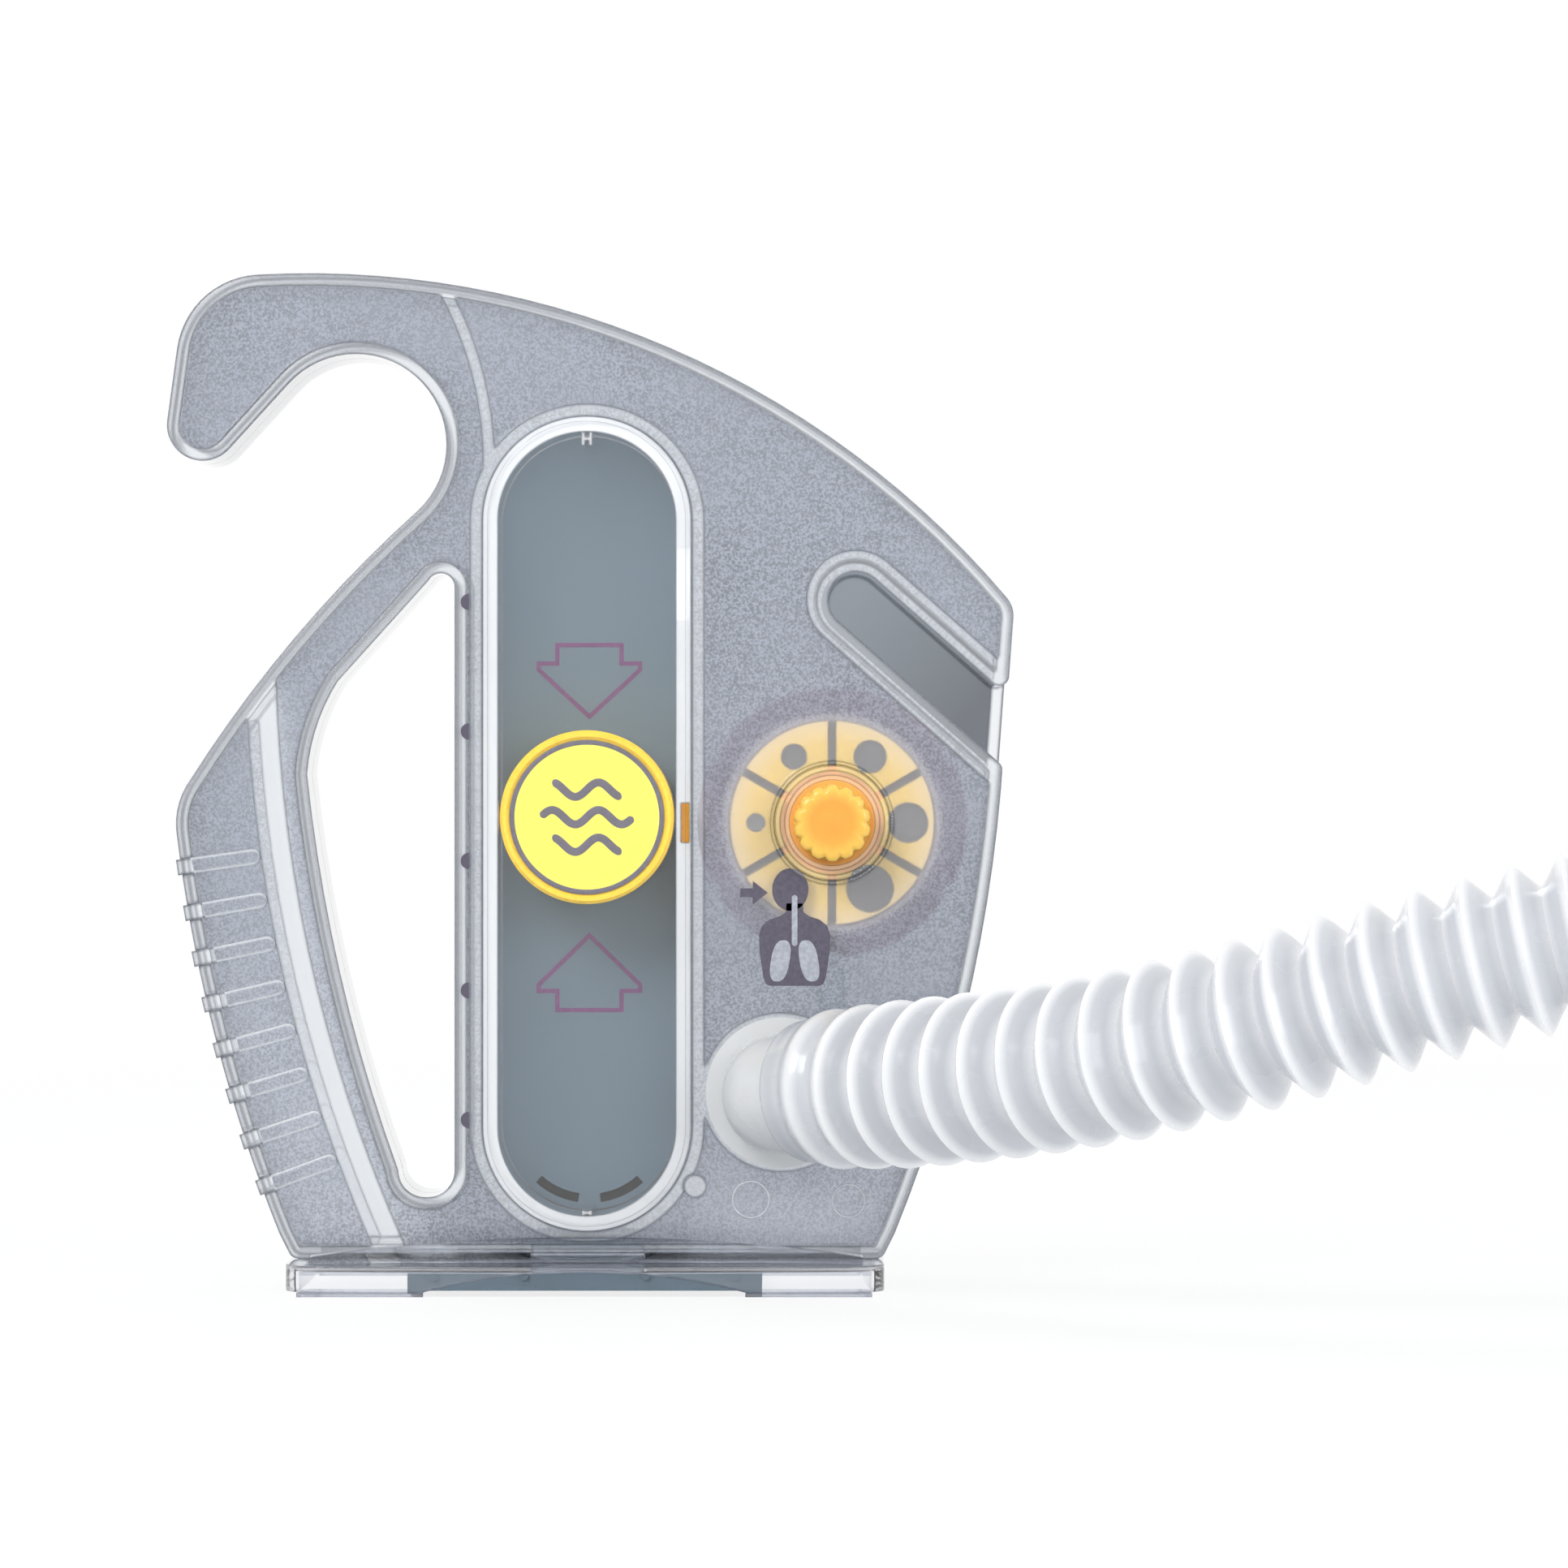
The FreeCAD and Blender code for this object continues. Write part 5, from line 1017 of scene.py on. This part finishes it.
class BreathingSignOperator(Operator):
    """Print the generic breathing sign below the dial"""

    bl_idname = "spirometer.breathing_sign"
    bl_label = "Breathing sign"

    def execute(self, context):
        sizes = context.scene.spirometer_details
        face = -ETCHED_DEPTH
        dark = ink("sign_ink", context.scene.spirometer_plastics.print_dark)
        pale = ink("sign_pale_ink", shade(context.scene.spirometer_plastics.frosted, 0.9))
        x = 33.2 * MM
        head = (32.5 * MM, 64.0 * MM)
        self.flat("sign_head", oval(head, 2.9 * MM, 3.4 * MM), head, face, sizes.ink, dark)
        self.flat("sign_body", self.torso(x), (x, 53.0 * MM), face, sizes.ink, dark)
        for side in (-1, 1):
            centre = (x + side * 2.3 * MM, 52.6 * MM)
            lung = oval(centre, 1.5 * MM, 3.3 * MM, power=2.6)
            lung[:, 0] += side * 0.16 * (centre[1] - lung[:, 1])
            self.flat(f"sign_lung_{side + 2}", lung, centre, face - sizes.ink, sizes.ink, pale)
        z = np.linspace(63.2, 54.9, 30) * MM
        front = face - 1.5 * sizes.ink
        mesh = ribbon_mesh("sign_windpipe", np.full_like(z, x), z, 0.9 * MM, front, sizes.ink / 2)
        add_piece("sign_windpipe", mesh, pale, "housing")
        arrow = np.array([
            (24.5, 64.2), (26.5, 64.2), (26.5, 65.4), (28.9, 63.5), (26.5, 61.6), (26.5, 62.8), (24.5, 62.8),
        ]) * MM
        self.flat("sign_arrow", arrow, (26.9 * MM, 63.5 * MM), face, sizes.ink, dark)
        return {"FINISHED"}

    def torso(self, x):
        """A bust from above the neck down: the half width at each height, mirrored about the middle line."""
        height = np.array([61.8, 60.4, 59.7, 59.2, 58.2, 56.8, 54.0, 50.0, 48.9, 48.6])
        half = np.array([1.3, 1.4, 2.4, 4.0, 5.2, 5.7, 5.6, 5.0, 4.6, 4.0])
        steps = np.linspace(0, len(height) - 1, 60)
        height = np.interp(steps, np.arange(len(height)), height)
        half = np.interp(steps, np.arange(len(half)), half)
        right = np.stack([x + half * MM, height * MM], -1)
        left = np.stack([x - half[::-1] * MM, height[::-1] * MM], -1)
        return np.concatenate([right, left])

    def flat(self, name, boundary, centre, face, thickness, material):
        points, poles = plate(boundary, centre, face - thickness, face)
        mesh = make_mesh(name, points, poles=poles)
        add_piece(name, mesh, material, "housing")


class MouldMarksOperator(Operator):
    """Raise the round marks that the mould leaves below the hose port"""

    bl_idname = "spirometer.mould_marks"
    bl_label = "Mould marks"

    def execute(self, context):
        plastics = context.scene.spirometer_plastics
        polished, edge = plastics.polished, plastics.edge
        pale = clear_plastic("mark_plastic", polished, edge, soft=0.2 * MM, clear=0.6)
        turn = np.linspace(0, 2 * np.pi, 10, endpoint=False)
        for number, (x, z, radius) in enumerate(((26.2, 14.4, 2.9), (41.8, 14.2, 2.6)), start=1):
            section = np.stack([radius + 0.22 * np.cos(turn), 0.1 * np.sin(turn)], -1) * MM
            ring = turned(section, (x * MM, -11.45 * MM, z * MM), (0, -1, 0), columns=72)
            mesh = make_mesh("mould_mark", ring, close_rows=True)
            add_piece(f"mould_mark_{number}", mesh, pale, "housing")
        return {"FINISHED"}


class StageOperator(Operator):
    """Set up the floor, sky, lamps and camera"""

    bl_idname = "spirometer.stage"
    bl_label = "Stage"

    def execute(self, context):
        stage = context.scene.spirometer_stage
        context.scene.view_settings.view_transform = "Standard"
        self.sky(context, stage)
        self.floor()
        for name, place, power, size in (
            ("key_lamp", (-0.55, -0.75, 0.75), stage.key, 0.5),
            ("fill_lamp", (0.75, -0.7, 0.35), stage.fill, 0.6),
            ("rim_lamp", (0.1, 0.6, 0.8), stage.rim, 0.5),
        ):
            self.lamp(context, name, place, power, size)
        camera = bpy.data.objects.new("camera", bpy.data.cameras.new("camera"))
        camera.data.lens = stage.lens
        camera.data.sensor_width = 36.0
        camera.location = (31.5 * MM, -stage.distance, 80.9 * MM)
        camera.rotation_euler = (np.pi / 2, 0, 0)
        context.scene.collection.objects.link(camera)
        context.scene.camera = camera
        return {"FINISHED"}

    def sky(self, context, stage):
        """A sky that lights softly and is seen as plain white, also in gloss and through clear plastic."""
        world = bpy.data.worlds.new("studio")
        context.scene.world = world
        world.use_nodes = True
        tree = world.node_tree
        tree.nodes.clear()
        seen, lighting = (tree.nodes.new("ShaderNodeBackground") for _ in range(2))
        seen.inputs["Strength"].default_value = 1.0
        seen.inputs["Color"].default_value = (1, 1, 1, 1)
        lighting.inputs["Color"].default_value = (0.97, 0.985, 1.0, 1)
        lighting.inputs["Strength"].default_value = stage.world
        mix = tree.nodes.new("ShaderNodeMixShader")
        output = tree.nodes.new("ShaderNodeOutputWorld")
        tree.links.new(self.seen_rays(tree), mix.inputs["Fac"])
        tree.links.new(lighting.outputs["Background"], mix.inputs[1])
        tree.links.new(seen.outputs["Background"], mix.inputs[2])
        tree.links.new(mix.outputs["Shader"], output.inputs["Surface"])

    def seen_rays(self, tree):
        """1 for rays from the camera, from gloss and through clear plastic."""
        path = tree.nodes.new("ShaderNodeLightPath")
        total = path.outputs["Is Camera Ray"]
        for name in ("Is Glossy Ray", "Is Transmission Ray"):
            largest = tree.nodes.new("ShaderNodeMath")
            largest.operation = "MAXIMUM"
            tree.links.new(total, largest.inputs[0])
            tree.links.new(path.outputs[name], largest.inputs[1])
            total = largest.outputs["Value"]
        return total

    def floor(self):
        """A wide flat floor: rings of points, radius by angle."""
        radius = np.array([0.4, 0.8, 1.6, 3.2, 6.0])
        angle = np.linspace(0, 2 * np.pi, 48, endpoint=False)
        level = -0.2 * MM
        points = np.zeros((len(radius), len(angle), 3))
        points[..., 0] = radius[:, None] * np.cos(angle)
        points[..., 1] = radius[:, None] * np.sin(angle)
        points[..., 2] = level
        rings = points.reshape(-1, 3)
        quads = lattice(len(radius), len(angle), False, True)
        hub = fan(np.arange(len(angle)), len(rings))
        mesh = bpy.data.meshes.new("floor")
        points = np.concatenate([rings, [(0, 0, level)]])
        mesh.from_pydata(points, [], quads[:, ::-1].tolist() + hub.tolist())
        floor = bpy.data.objects.new("floor", mesh)
        bpy.context.scene.collection.objects.link(floor)
        mesh.materials.append(self.floor_paint())

    def floor_paint(self):
        """White paint, seen near-white with a faint shadow near the object, and plain white further out."""
        shader = Shader("floor_paint")
        shader.set(Base_Color=(0.86, 0.87, 0.88, 1), Roughness=0.9, Specular_IOR_Level=0.1)
        glow = shader.add("ShaderNodeEmission")
        glow.inputs["Color"].default_value = (1, 1, 1, 1)
        mix = shader.add("ShaderNodeMixShader")
        across, back, _ = shader.axes()
        across = shader.math("SUBTRACT", across, 0.15)
        squares = (shader.math("MULTIPLY", side, side) for side in (across, back))
        spread = shader.math("ADD", *squares)
        plain = shader.ramp(shader.math("SQRT", spread), 0.35, 1.0, 0.82, 1.0)
        share = shader.math("MULTIPLY", self.seen_rays(shader.tree), plain)
        shader.link(share, mix.inputs["Fac"])
        shader.link(shader.surface.outputs["BSDF"], mix.inputs[1])
        shader.link(glow.outputs["Emission"], mix.inputs[2])
        shader.link(mix.outputs["Shader"], shader.output.inputs["Surface"])
        return shader.material

    def lamp(self, context, name, place, power, size):
        """A square area lamp that points at the middle of the housing."""
        lamp = bpy.data.lights.new(name, "AREA")
        lamp.energy = power
        lamp.size = size
        holder = bpy.data.objects.new(name, lamp)
        holder.location = place
        aim = Vector((0.02, 0.0, 0.08))
        holder.rotation_euler = (aim - holder.location).to_track_quat("-Z", "Y").to_euler()
        holder.visible_camera = False
        context.scene.collection.objects.link(holder)


class SpirometerPanel(Panel):
    """The steps that dress the spirometer, in order"""

    bl_idname = "VIEW3D_PT_spirometer"
    bl_label = "Spirometer"
    bl_space_type = "VIEW_3D"
    bl_region_type = "UI"
    bl_category = "Spirometer"

    def draw(self, context):
        for step in STEPS:
            self.layout.operator(step.bl_idname)


GROUPS = {
    "spirometer_plastics": PlasticSettings,
    "spirometer_hose": HoseSettings,
    "spirometer_details": DetailSettings,
    "spirometer_stage": StageSettings,
}
STEPS = (
    StageOperator,
    PlasticsOperator,
    HoseOperator,
    KnobOperator,
    PortShadeOperator,
    LabelPrintOperator,
    FloatMarksOperator,
    BreathingSignOperator,
    MouldMarksOperator,
)


def register():
    for group in GROUPS.values():
        bpy.utils.register_class(group)
    for step in STEPS:
        bpy.utils.register_class(step)
    bpy.utils.register_class(SpirometerPanel)
    for name, group in GROUPS.items():
        setattr(bpy.types.Scene, name, PointerProperty(type=group))


def unregister():
    for name in GROUPS:
        delattr(bpy.types.Scene, name)
    bpy.utils.unregister_class(SpirometerPanel)
    for step in STEPS:
        bpy.utils.unregister_class(step)
    for group in GROUPS.values():
        bpy.utils.unregister_class(group)


def main():
    register()
    for step in STEPS:
        name = step.bl_idname.split(".")[1]
        getattr(bpy.ops.spirometer, name)()


if __name__ == "__main__":
    main()
